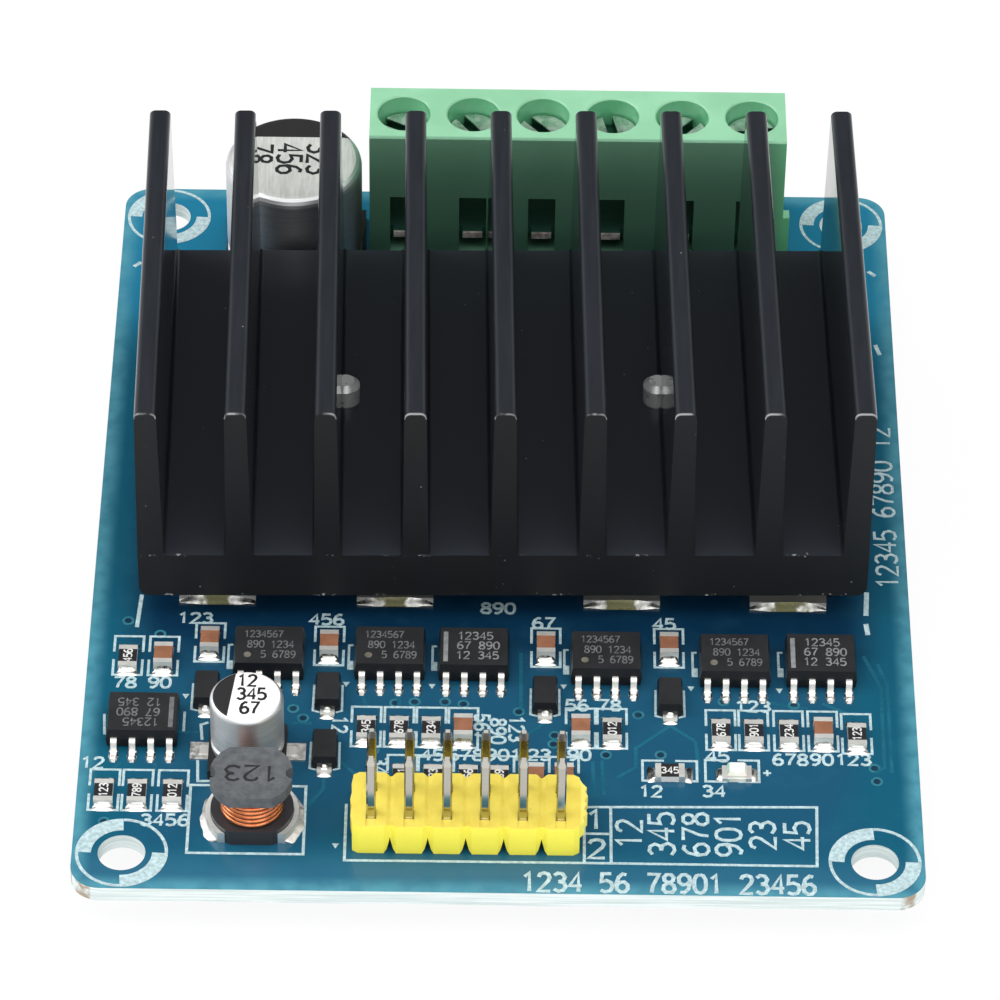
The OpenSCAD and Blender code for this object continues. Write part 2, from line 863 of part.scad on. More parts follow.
module header_strip() {
    pocket_w = pin_side + 0.1;
    pocket_d = 0.84;
    pocket_deep = 0.15;
    front = notched_side(-1);
    back = notched_side(1);
    color("gold")
        difference() {
            translate([header_x, strip_y, top])
                difference() {
                    union() {
                        linear_extrude(header_h)
                            polygon(concat(front, [for (i = [len(back) - 1 : -1 : 0]) back[i]]));
                        snapped_web(-1, [0, 0.12, 0.05, 0.16, 0.06, 0.1, 0]);
                        snapped_web(1, [0, 0.32, 0.2, 0.5, 0.28, 0.46, 0.3, 0.54, 0.36, 0.48, 0.18, 0]);
                    }
                    for (i = [1 : header_columns - 1])
                        translate([-strip_w / 2 + i * header_pitch, 0, 0]) {
                            foot_arch();
                            top_valley();
                        }
                }
            at_pins() {
                block([pin_side + 2 * fit, pin_side + 2 * fit, header_h + 2 * past], top - past);
                translate([0, -pin_side / 2 - pocket_d / 2 + fit, top + header_h - pocket_deep])
                    block([pocket_w, pocket_d, 2 * pocket_deep]);
            }
        }
}

module header_pin() {
    bevel = 0.17;
    bevel_h = 0.55;
    edge = 0.1;
    low = -pin_tail;
    high = board_t + header_h + pin_up;
    half = pin_side / 2;
    outline = [
        [-half + bevel, low], [half - bevel, low], [half, low + bevel_h], [half, high - bevel_h],
        [half - bevel, high], [-half + bevel, high], [-half, high - bevel_h], [-half, low + bevel_h]
    ];
    cut = half - edge;
    intersection() {
        translate([0, 0, low])
            linear_extrude(high - low)
                polygon([[-cut, -half], [cut, -half], [half, -cut], [half, cut],
                         [cut, half], [-cut, half], [-half, cut], [-half, -cut]]);
        along_x(pin_side + past)
            polygon(outline);
        along_y(pin_side + past)
            polygon(outline);
    }
}

module header_pins() {
    color("silver")
        at_pins()
            header_pin();
}

// Electrolytic capacitors

// Can of a surface-mount electrolytic: crimped above its base, with a rounded shoulder
module round_can(d, h, base_h) {
    r = d / 2;
    shoulder = 0.07 * d;
    crimp = 0.04 * d;
    crimp_z = base_h + 0.14 * d;
    rotate_extrude()
        polygon(concat(
            [[0, base_h], [r - crimp, base_h]],
            arc([r - crimp, base_h + crimp], crimp, -90, 0),
            [[r, crimp_z - crimp], [r - crimp, crimp_z], [r, crimp_z + crimp]],
            arc([r - shoulder, h - shoulder], shoulder, 0, 90),
            [[0, h]]
        ));
}

// Moulded base, w square, with two cut corners at -Y and a groove for the leads
module square_base(w, base_h, lead_w, lead_t) {
    cut = 0.16 * w;
    half = w / 2;
    difference() {
        linear_extrude(base_h)
            polygon([[-half + cut, -half], [half - cut, -half], [half, -half + cut], [half, half],
                     [-half, half], [-half, -half + cut]]);
        block([lead_w + 2 * fit, w + past, 2 * (lead_t + fit)], -lead_t - fit);
    }
}

// Two flat leads that reach out from under the base, along Y
module flat_leads(w, lead_w, lead_t, out) {
    inner = 0.12 * w;
    length = w / 2 + out - inner;
    for (side = [-1, 1])
        translate([0, side * (inner + length / 2), 0])
            block([lead_w, length, lead_t]);
}

module at_bulk() {
    translate([bulk_x, bulk_y, top])
        children();
}

module bulk_capacitor_can() {
    color("silver")
        at_bulk()
            round_can(bulk_d, bulk_h, bulk_base_h);
}

module bulk_capacitor_base() {
    color([0.1, 0.1, 0.1])
        at_bulk()
            square_base(bulk_base, bulk_base_h, bulk_lead_w, bulk_lead_t);
}

module bulk_capacitor_leads() {
    color("lightgrey")
        at_bulk()
            flat_leads(bulk_base, bulk_lead_w, bulk_lead_t, bulk_lead_out);
}

module at_small() {
    on_board(small_at)
        rotate(90)
            children();
}

module small_capacitor_can() {
    color("silver")
        at_small()
            round_can(small_d, small_h, small_base_h);
}

module small_capacitor_base() {
    color([0.1, 0.1, 0.1])
        at_small()
            square_base(small_base, small_base_h, small_lead_w, small_lead_t);
}

module small_capacitor_leads() {
    color("lightgrey")
        at_small()
            flat_leads(small_base, small_lead_w, small_lead_t, small_lead_out);
}

// Inductor

module flange_outline(grow = 0) {
    intersection() {
        circle(d = drum_d + 2 * grow);
        square([drum_d + 2 * grow, drum_flat_d + 2 * grow], center = true);
    }
}

module inductor_core() {
    notch_r = 0.5;
    color([0.35, 0.36, 0.38])
        on_board(drum_at) {
            linear_extrude(flange_low_t)
                flange_outline();
            cylinder(h = drum_h - flange_top_t / 2, d = drum_post_d);
            translate([0, 0, drum_h - flange_top_t])
                linear_extrude(flange_top_t)
                    difference() {
                        flange_outline();
                        for (side = [-1, 1])
                            translate([side * drum_d / 2, 0])
                                circle(notch_r);
                    }
        }
}

// Copper winding round the post, its turns as ridges
module inductor_winding() {
    turns = 6;
    low = flange_low_t + fit;
    high = drum_h - flange_top_t - fit;
    wire_r = (high - low) / turns / 2;
    bore_r = drum_post_d / 2 + fit;
    outer_r = winding_d / 2 - wire_r;
    color([0.8, 0.45, 0.25])
        on_board(drum_at)
            rotate_extrude() {
                translate([bore_r, low + wire_r / 2])
                    square([outer_r - bore_r, high - low - wire_r]);
                for (i = [0 : turns - 1])
                    translate([outer_r, low + wire_r * (2 * i + 1)])
                        circle(wire_r, $fn = 16);
            }
}

// Metal round the two ends of the lower flange
module inductor_terminals() {
    grow = 0.35;
    terminal_h = 0.9;
    wrap_w = 1.3;
    flat_inset = 0.2;
    color("lightgrey")
        on_board(drum_at)
            linear_extrude(terminal_h)
                for (side = [-1, 1])
                    intersection() {
                        difference() {
                            flange_outline(grow);
                            flange_outline(fit);
                        }
                        translate([side * drum_d / 2, 0])
                            square([2 * wrap_w, drum_flat_d - 2 * flat_inset], center = true);
                    }
}

// Integrated circuits

module ic_body(i) {
    draft = 0.14;
    dimple_r = 0.3;
    dimple_deep = 0.06;
    corner = 0.62;
    color([0.18, 0.18, 0.18])
        on_board(ic_at[i])
            difference() {
                moulded(ic_len, ic_w, ic_standoff, ic_h, draft);
                at_ic_leads()
                    for (side = [-1, 1])
                        translate([0, side * (ic_w / 2 - lead_in + past), 0])
                            block([ic_lead_w, 2 * past, ic_lead_t], ic_up - ic_lead_t / 2);
                if (i < len(driver_at))
                    translate([-ic_len / 2 + corner, -ic_w / 2 + corner, ic_h - dimple_deep])
                        cylinder(h = past, r = dimple_r);
            }
}

// The places of an integrated circuit's four pairs of leads
module at_ic_leads() {
    for (n = [-1.5 : 1.5])
        translate([n * ic_pitch, 0, 0])
            children();
}

module ic_leads(i) {
    half = ic_w / 2;
    color("silver")
        on_board(ic_at[i])
            at_ic_leads()
                for (side = [-1, 1])
                    rotate(side * 90)
                        gull_lead(half - lead_in, half + ic_lead_out, ic_span / 2,
                                  ic_up, ic_lead_t, ic_lead_w);
}

// Diodes

// The places of the diodes' leads, which lie flat on the board and reach along +X here
module at_diode_leads(place) {
    on_board(place)
        for (side = [-1, 1])
            rotate(side * 90)
                translate([diode_len / 2 - lead_in, 0, 0])
                    children();
}

module diode_bodies() {
    draft = 0.12;
    slot = 2 * lead_in + past;
    color([0.15, 0.15, 0.15])
        for (place = diode_at)
            difference() {
                on_board(place)
                    moulded(diode_w, diode_len, 0, diode_h, draft);
                at_diode_leads(place)
                    translate([slot / 2, 0, 0])
                        block([slot, diode_lead_w, diode_lead_t + past], -past);
            }
}

module diode_leads() {
    length = (diode_span - diode_len) / 2 + lead_in;
    color("silver")
        for (place = diode_at)
            at_diode_leads(place)
                translate([length / 2, 0, 0])
                    block([length, diode_lead_w, diode_lead_t]);
}

// Chips

// Middle of a chip, between its ends; the chip lies along Y
module chip_body(h) {
    block([chip_w, chip_len - 2 * chip_end, h]);
}

module chip_ends(h) {
    for (side = [-1, 1])
        translate([0, side * (chip_len - chip_end) / 2, 0])
            block([chip_w + 2 * end_wrap, chip_end, h + end_wrap]);
}

// The places of the chip resistors, one of which lies along X
module at_resistors() {
    for (place = resistor_at)
        on_board(place)
            children();
    on_board(flat_resistor_at)
        rotate(90)
            children();
}

module resistor_bodies() {
    color([0.12, 0.12, 0.12])
        at_resistors()
            chip_body(resistor_h);
}

module resistor_ends() {
    color("silver")
        at_resistors()
            chip_ends(resistor_h);
}

module capacitor_bodies() {
    color([0.65, 0.45, 0.32])
        for (place = capacitor_at)
            on_board(place)
                chip_body(capacitor_h);
}

module capacitor_ends() {
    color("silver")
        for (place = capacitor_at)
            on_board(place)
                chip_ends(capacitor_h);
}

// Indicator: a pale base with a lens on it, along X
module led_body() {
    sunk = 0.1;
    lens_inset = 0.05;
    draft = 0.15;
    color("white")
        on_board(led_at) {
            block([chip_len - 2 * chip_end, chip_w, led_base_h]);
            moulded(led_lens_w, chip_w - 2 * lens_inset, led_base_h - sunk, led_base_h + lens_h, draft);
        }
}

module led_terminals() {
    color("silver")
        on_board(led_at)
            rotate(90)
                chip_ends(led_base_h - 2 * end_wrap);
}

circuit_board();
heatsink();
thermal_pad();
heatsink_screws();
heatsink_washers();
heatsink_spring_washers();
terminal_housing();
terminal_screws();
terminal_clamps();
terminal_contacts();
header_strip();
header_pins();
bulk_capacitor_can();
bulk_capacitor_base();
bulk_capacitor_leads();
small_capacitor_can();
small_capacitor_base();
small_capacitor_leads();
inductor_core();
inductor_winding();
inductor_terminals();
diode_bodies();
diode_leads();
led_body();
led_terminals();
resistor_bodies();
resistor_ends();
capacitor_bodies();
capacitor_ends();
for (i = [0 : len(TRANSISTORS) - 1])
    transistor_body(i);
for (i = [0 : len(TRANSISTORS) - 1])
    transistor_leadframe(i);
for (i = [0 : len(ICS) - 1])
    ic_body(i);
for (i = [0 : len(ICS) - 1])
    ic_leads(i);
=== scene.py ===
"""Looks of the twin motor driver board: finishes, print, solder, threads, light and camera.

Lengths in this file are millimetres unless a name ends in _m; the frame itself is in metres.
"""
import math
import random

import bpy
from mathutils import Matrix, Vector


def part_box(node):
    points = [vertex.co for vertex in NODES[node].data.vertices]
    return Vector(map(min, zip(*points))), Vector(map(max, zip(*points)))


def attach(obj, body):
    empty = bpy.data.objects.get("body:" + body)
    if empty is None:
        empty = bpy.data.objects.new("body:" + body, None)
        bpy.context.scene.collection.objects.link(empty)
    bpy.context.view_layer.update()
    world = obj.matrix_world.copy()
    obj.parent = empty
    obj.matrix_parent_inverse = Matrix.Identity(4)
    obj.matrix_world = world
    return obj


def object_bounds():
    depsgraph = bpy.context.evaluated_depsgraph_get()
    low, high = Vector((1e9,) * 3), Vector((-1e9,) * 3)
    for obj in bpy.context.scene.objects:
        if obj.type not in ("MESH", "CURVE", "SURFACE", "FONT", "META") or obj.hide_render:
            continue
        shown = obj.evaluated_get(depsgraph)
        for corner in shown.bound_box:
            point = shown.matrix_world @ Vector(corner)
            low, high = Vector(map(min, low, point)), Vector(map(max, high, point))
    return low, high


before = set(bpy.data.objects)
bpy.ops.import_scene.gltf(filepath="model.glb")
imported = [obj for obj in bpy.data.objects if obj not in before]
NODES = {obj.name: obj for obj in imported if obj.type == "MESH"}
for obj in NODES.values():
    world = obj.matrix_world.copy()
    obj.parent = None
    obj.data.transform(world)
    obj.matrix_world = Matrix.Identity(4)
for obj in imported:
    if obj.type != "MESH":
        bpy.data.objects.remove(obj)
CAD_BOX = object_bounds()
MM = 0.001
TOP = 1.2
PRINT = 0.02
rng = random.Random(7)


def box_mm(node):
    lo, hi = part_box(node)
    return lo / MM, hi / MM


def islands(node):
    """Boxes of a node's separate solids, in mm, as (lowest, highest) corners."""
    mesh = NODES[node].data
    keys, owner = {}, []
    for v in mesh.vertices:
        key = tuple(round(c * 1e6) for c in v.co)
        keys.setdefault(key, len(keys))
        owner.append(keys[key])
    parent = list(range(len(keys)))

    def find(i):
        while parent[i] != i:
            parent[i] = parent[parent[i]]
            i = parent[i]
        return i

    for poly in mesh.polygons:
        first = find(owner[poly.vertices[0]])
        for v in poly.vertices[1:]:
            parent[find(owner[v])] = first
    groups = {}
    for key, i in keys.items():
        groups.setdefault(find(i), []).append([c / 1000 for c in key])
    boxes = []
    for points in groups.values():
        lo = Vector([min(p[k] for p in points) for k in range(3)])
        hi = Vector([max(p[k] for p in points) for k in range(3)])
        boxes.append((lo, hi))
    return sorted(boxes, key=lambda b: (round(b[0].x, 1), b[0].y))


# Meshes

class Shape:
    """Collects vertices and faces in mm and turns them into one piece of the object."""

    def __init__(self):
        self.verts = []
        self.faces = []
        self.count = 0

    def add(self, verts, faces, place=None):
        base = len(self.verts)
        for v in verts:
            v = Vector(v)
            self.verts.append(place @ v if place else v)
        self.faces.extend([base + i for i in f] for f in faces)

    def prism(self, outline, low, high, place=None):
        """Upright prism on a counter-clockwise outline."""
        n = len(outline)
        verts = [(x, y, low) for x, y in outline] + [(x, y, high) for x, y in outline]
        faces = [list(range(n - 1, -1, -1)), list(range(n, 2 * n))]
        faces += [[i, (i + 1) % n, n + (i + 1) % n, n + i] for i in range(n)]
        self.add(verts, faces, place)

    def ribbon(self, points, width, low=TOP, high=TOP + PRINT, closed=False, place=None):
        """Flat band of even width along a line of points, with mitred corners."""
        pts = [Vector(p) for p in points]
        n = len(pts)
        self.count += 1
        high += 0.0013 * (self.count % 4)
        rise = 0 if closed else 0.0009
        left, right = [], []
        for i in range(n):
            before = pts[i] - pts[i - 1] if i or closed else pts[1] - pts[0]
            after = pts[(i + 1) % n] - pts[i] if i < n - 1 or closed else before
            a, b = before.normalized(), after.normalized()
            side = Vector((-a.y - b.y, a.x + b.x))
            if side.length < 1e-6:
                side = Vector((-a.y, a.x))
            side.normalize()
            grow = min(1.5, 1 / max(0.3, side.dot(Vector((-a.y, a.x)))))
            left.append(pts[i] + side * width / 2 * grow)
            right.append(pts[i] - side * width / 2 * grow)
        verts = []
        for i, (l, r) in enumerate(zip(left, right)):
            z = high + rise * i
            verts += [(l.x, l.y, low), (r.x, r.y, low), (r.x, r.y, z), (l.x, l.y, z)]
        faces = []
        for i in range(n if closed else n - 1):
            a, b = 4 * i, 4 * ((i + 1) % n)
            faces += [[a + k, a + (k + 1) % 4, b + (k + 1) % 4, b + k] for k in range(4)]
        if not closed:
            e = 4 * (n - 1)
            faces += [[3, 2, 1, 0], [e, e + 1, e + 2, e + 3]]
        self.add(verts, faces, place)

    def grid(self, rows, place=None, closed=True):
        """Skin through rows of points; each row may be a closed loop, and the ends are capped."""
        n = len(rows[0])
        verts = [p for row in rows for p in row]
        faces = []
        for i in range(len(rows) - 1):
            for j in range(n if closed else n - 1):
                k = (j + 1) % n
                faces.append([i * n + j, i * n + k, (i + 1) * n + k, (i + 1) * n + j])
        faces.append(list(range(n - 1, -1, -1)))
        faces.append([(len(rows) - 1) * n + j for j in range(n)])
        self.add(verts, faces, place)

    def make(self, name, material, smooth=False):
        mesh = bpy.data.meshes.new(name)
        mesh.from_pydata([v * MM for v in self.verts], [], self.faces)
        mesh.validate()
        mesh.update()
        piece = bpy.data.objects.new(name, mesh)
        bpy.context.scene.collection.objects.link(piece)
        mesh.materials.append(material)
        if smooth:
            mesh.polygons.foreach_set("use_smooth", [True] * len(mesh.polygons))
            mesh.set_sharp_from_angle(angle=math.radians(50))
        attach(piece, "root")
        return piece


def arc_points(cx, cy, r, start, end, steps):
    return [
        (cx + r * math.cos(math.radians(start + (end - start) * i / steps)),
         cy + r * math.sin(math.radians(start + (end - start) * i / steps)))
        for i in range(steps + 1)
    ]


def ring_sector(shape, cx, cy, inner, outer, start, end, low=TOP, high=TOP + PRINT):
    """Flat ring or part of one."""
    steps = max(4, int(abs(end - start) / 7))
    if abs(end - start) >= 360:
        shape.ribbon(arc_points(cx, cy, (inner + outer) / 2, start, end, steps)[:-1],
                     outer - inner, low, high, closed=True)
    else:
        shape.ribbon(arc_points(cx, cy, (inner + outer) / 2, start, end, steps),
                     outer - inner, low, high)


# Plain digits as strokes, on a field 0.9 wide and 1.6 high
DIGITS = {
    "0": [[(0.45, 1.6), (0.2, 1.52), (0.03, 1.2), (0.0, 0.8), (0.03, 0.4), (0.2, 0.08), (0.45, 0),
           (0.7, 0.08), (0.87, 0.4), (0.9, 0.8), (0.87, 1.2), (0.7, 1.52), (0.45, 1.6)]],
    "1": [[(0.15, 1.25), (0.5, 1.6), (0.5, 0)]],
    "2": [[(0.03, 1.25), (0.15, 1.5), (0.45, 1.6), (0.75, 1.5), (0.87, 1.2), (0.75, 0.9), (0, 0),
           (0.9, 0)]],
    "3": [[(0.03, 1.4), (0.3, 1.6), (0.65, 1.55), (0.84, 1.25), (0.7, 0.93), (0.35, 0.85)],
          [(0.35, 0.85), (0.75, 0.75), (0.9, 0.42), (0.7, 0.08), (0.35, 0), (0, 0.2)]],
    "4": [[(0.68, 0), (0.68, 1.6), (0, 0.5), (0.92, 0.5)]],
    "5": [[(0.82, 1.6), (0.12, 1.6), (0.05, 0.88), (0.45, 1.0), (0.8, 0.82), (0.9, 0.45),
           (0.72, 0.1), (0.35, 0), (0, 0.15)]],
    "6": [[(0.78, 1.52), (0.5, 1.6), (0.18, 1.3), (0.0, 0.7), (0.08, 0.2), (0.35, 0), (0.65, 0.03),
           (0.88, 0.3), (0.86, 0.65), (0.6, 0.9), (0.28, 0.85), (0.04, 0.6)]],
    "7": [[(0, 1.6), (0.9, 1.6), (0.42, 0.6), (0.32, 0)]],
    "8": [[(0.45, 0.86), (0.14, 1.05), (0.08, 1.35), (0.28, 1.58), (0.62, 1.58), (0.82, 1.35),
           (0.76, 1.05), (0.45, 0.86), (0.08, 0.62), (0, 0.3), (0.2, 0.03), (0.7, 0.03),
           (0.9, 0.3), (0.82, 0.62), (0.45, 0.86)]],
    "9": [[(0.12, 0.08), (0.4, 0), (0.72, 0.3), (0.9, 0.9), (0.82, 1.4), (0.55, 1.6), (0.25, 1.57),
           (0.02, 1.3), (0.04, 0.95), (0.3, 0.7), (0.62, 0.75), (0.86, 1.0)]],
    "+": [[(0.1, 0.75), (0.8, 0.75)], [(0.45, 0.4), (0.45, 1.1)]],
}


def number(shape, string, x, y, height, advance, turn=0, z=TOP, stroke=0.14, thick=PRINT):
    """Plain number centred at x, y; turn is in degrees counter-clockwise."""
    sy = height / 1.6
    sx = 0.76 * advance / 0.9
    start = -advance * (len(string) - 1) / 2 - sx * 0.45
    place = Matrix.Translation((x, y, 0)) @ Matrix.Rotation(math.radians(turn), 4, "Z")
    for i, c in enumerate(string):
        for k, line in enumerate(DIGITS.get(c, [])):
            pts = [(start + i * advance + px * sx, (py - 0.8) * sy) for px, py in line]
            shape.ribbon(pts, stroke, z - 0.001 * k, z + thick + 0.004 * k, place=place)


def solder(shape, x, y, turn, length, width, high, foot=0.1, narrow=0.85, base=TOP, bulge=0.0,
           blunt=0.6, drop=2.1):
    """Solder fillet: starts at x, y against an end face and runs out along turn (degrees)."""
    nu, nv = 9, 8
    place = Matrix.Translation((x, y, base)) @ Matrix.Rotation(math.radians(turn), 4, "Z")
    tilt, lumps = rng.uniform(-0.15, 0.15), [rng.uniform(-1, 1) for _ in range(4)]
    rows = []
    for i in range(nu + 1):
        u = i / nu
        corner = math.sqrt(max(0.0, 1 - max(0.0, (u - blunt) / (1 - blunt)) ** 2.4))
        half = width / 2 * (1 + (narrow - 1) * u) * max(0.45, corner)
        fall = high * (1 - u) ** drop + (foot + bulge * math.sin(math.pi * u)) * (1 - u ** 5)
        row = []
        for j in range(nv + 1):
            v = 2 * j / nv - 1
            z = fall * (1 - 0.5 * abs(v) ** 2.6) * (1 + tilt * v)
            z += 0.008 * (lumps[0] * math.sin(5 * u + 3 * v) + lumps[1] * math.sin(7 * v + lumps[2] * 3))
            if i == nu or abs(v) == 1:
                z = 0.02
            row.append((length * u, half * v, max(0.015, z)))
        low = [(p[0], p[1], -0.01) for p in reversed(row)]
        rows.append(row + low)
    shape.grid(rows, place)


# Materials

class Paint:
    """A material with its node tree, and short calls for the nodes that it needs."""

    def __init__(self, name, **sockets):
        self.mat = bpy.data.materials.new(name)
        self.mat.use_nodes = True
        self.nodes = self.mat.node_tree.nodes
        self.links = self.mat.node_tree.links
        self.shader = self.nodes["Principled BSDF"]
        for key, value in sockets.items():
            self.shader.inputs[key.replace("_", " ")].default_value = value
        where = self.nodes.new("ShaderNodeTexCoord")
        scale = self.nodes.new("ShaderNodeVectorMath")
        scale.operation = "SCALE"
        scale.inputs["Scale"].default_value = 1000
        self.links.new(where.outputs["Object"], scale.inputs[0])
        self.at = scale.outputs[0]
        self.local = where.outputs["Generated"]

    def put(self, socket, value):
        if hasattr(value, "links"):
            self.links.new(value, socket)
        else:
            socket.default_value = value

    def set(self, name, value):
        self.put(self.shader.inputs[name], value)

    def math(self, operation, *values, clamp=False):
        node = self.nodes.new("ShaderNodeMath")
        node.operation = operation
        node.use_clamp = clamp
        for i, value in enumerate(values):
            self.put(node.inputs[i], value)
        return node.outputs[0]

    def axes(self, vector=None):
        node = self.nodes.new("ShaderNodeSeparateXYZ")
        self.put(node.inputs[0], vector or self.at)
        return node.outputs

    def moved(self, move=(0, 0, 0), turn=(0, 0, 0), scale=(1, 1, 1)):
        node = self.nodes.new("ShaderNodeMapping")
        self.put(node.inputs["Vector"], self.at)
        node.inputs["Location"].default_value = move
        node.inputs["Rotation"].default_value = turn
        node.inputs["Scale"].default_value = scale
        return node.outputs[0]

    def noise(self, scale, detail=3, rough=0.5, vector=None):
        node = self.nodes.new("ShaderNodeTexNoise")
        self.put(node.inputs["Vector"], vector or self.at)
        node.inputs["Scale"].default_value = scale
        node.inputs["Detail"].default_value = detail
        node.inputs["Roughness"].default_value = rough
        return node.outputs["Fac"]

    def cells(self, scale, vector=None, feature="F1"):
        node = self.nodes.new("ShaderNodeTexVoronoi")
        node.feature = feature
        self.put(node.inputs["Vector"], vector or self.at)
        node.inputs["Scale"].default_value = scale
        return node.outputs["Distance"]

    def band(self, value, low, high, to_low=0.0, to_high=1.0):
        """Smooth step from low to high."""
        node = self.nodes.new("ShaderNodeMapRange")
        node.interpolation_type = "SMOOTHSTEP"
        self.put(node.inputs["Value"], value)
        for key, v in (("From Min", low), ("From Max", high), ("To Min", to_low), ("To Max", to_high)):
            node.inputs[key].default_value = v
        return node.outputs[0]

    def blend(self, factor, a, b):
        node = self.nodes.new("ShaderNodeMix")
        node.data_type = "RGBA"
        self.put(node.inputs["Factor"], factor)
        for socket, value in ((node.inputs[6], a), (node.inputs[7], b)):
            self.put(socket, value if hasattr(value, "links") else (*value[:3], 1))
        return node.outputs[2]

    def normal(self):
        node = self.nodes.new("ShaderNodeNewGeometry")
        return self.axes(node.outputs["Normal"])

    def up(self):
        return self.normal()[2]

    def bump(self, height, distance, strength=1.0):
        node = self.nodes.new("ShaderNodeBump")
        node.inputs["Strength"].default_value = strength
        node.inputs["Distance"].default_value = distance * MM
        self.put(node.inputs["Height"], height)
        self.set("Normal", node.outputs[0])


def speckled(name, colour, other, scale, rough=(0.4, 0.55), bump=0.004, fine=8, **sockets):
    """Base finish: two close tones in a soft noise, uneven gloss and a fine relief."""
    p = Paint(name, **sockets)
    tone = p.band(p.noise(scale), 0.35, 0.65)
    p.set("Base Color", p.blend(tone, colour, other))
    p.set("Roughness", p.band(p.noise(scale * 2.3, 4), 0.3, 0.7, *rough))
    p.bump(p.noise(fine, 5, 0.6), bump)
    return p


def board_paint():
    p = Paint("solder_mask", Specular_IOR_Level=0.35)
    x, y, z = p.axes()
    side = p.math("SUBTRACT", 28.6, p.math("ABSOLUTE", x))
    ends = p.math("SUBTRACT", 36.0, p.math("ABSOLUTE", y))
    near = p.math("MINIMUM", side, ends)
    cloud = p.noise(0.16, 2)
    pour = p.math("ADD", near, p.math("MULTIPLY", p.math("SUBTRACT", cloud, 0.5), 5.0))
    tone = p.blend(p.band(pour, 2.0, 6.5), (0.005, 0.08, 0.135), (0.009, 0.07, 0.13))
    # Painted light: a lighter band along the front edge stands for the sheen of the glossy mask there.
    front = p.band(p.math("ADD", y, p.math("MULTIPLY", cloud, 2.0)), -30.5, -33.5)
    tone = p.blend(front, tone, (0.02, 0.105, 0.175))
    # Painted light: the back of the board, behind the heatsink, is painted a lighter blue for the light from
    # behind.
    tone = p.blend(p.band(y, 15.0, 24.0), tone, (0.012, 0.15, 0.255))
    # Painted shade: the board around and under the heatsink is painted dark, standing for its shadow and its
    # reflection of the black heatsink.
    shade = p.math("MULTIPLY", p.band(y, -17.5, -10.5), p.band(y, 22.0, 15.0))
    tone = p.blend(p.math("MULTIPLY", shade, p.band(side, 1.0, 5.0)), tone, (0.003, 0.026, 0.062))
    rim = p.math("MULTIPLY", p.band(near, 1.5, 0.1), p.band(p.noise(0.7, 2), 0.2, 0.7, 0.5, 1.0))
    tone = p.blend(rim, tone, (0.07, 0.25, 0.32))
    weave = p.math("SINE", p.math("MULTIPLY", y, 15.0))
    fine = p.math("MULTIPLY", weave, p.band(p.noise(0.5, 3), 0.45, 0.75, 0.0, 0.06))
    tone = p.blend(p.math("ABSOLUTE", fine), tone, (0.06, 0.28, 0.38))
    layers = p.noise(1.0, 4, 0.6, p.moved(scale=(0.15, 0.15, 9)))
    laminate = p.blend(p.band(layers, 0.35, 0.65), (0.5, 0.59, 0.58), (0.7, 0.76, 0.75))
    flat = p.band(p.math("ABSOLUTE", p.up()), 0.55, 0.75)
    burr = p.band(p.cells(0.55, p.moved(scale=(1, 1, 0.2))), 0.09, 0.03)
    laminate = p.blend(p.math("MULTIPLY", burr, 0.5), laminate, (0.3, 0.2, 0.12))
    for x0, x1, y0, y1 in ((-28.4, -27.2, -36.1, -35.2), (-28.8, -28.2, -34.7, -33.9),
                           (26.9, 27.9, -36.1, -35.5)):
        inside = p.math("MULTIPLY", p.band(x, x0 - 0.1, x0 + 0.1), p.band(x, x1 + 0.1, x1 - 0.1))
        inside = p.math("MULTIPLY", inside, p.band(y, y0 - 0.1, y0 + 0.1))
        inside = p.math("MULTIPLY", inside, p.band(y, y1 + 0.1, y1 - 0.1))
        inside = p.math("MULTIPLY", inside, p.band(p.noise(1.4, 2), 0.3, 0.6))
        laminate = p.blend(inside, laminate, (0.33, 0.26, 0.19))
    p.set("Base Color", p.blend(flat, laminate, tone))
    p.set("Roughness", p.band(flat, 0, 1, 0.62, 0.2))
    relief = p.math("ADD", p.math("MULTIPLY", p.noise(0.6, 2), 1.0), p.math("MULTIPLY", fine, 0.6))
    p.bump(relief, 0.02, 0.5)
    return p.mat


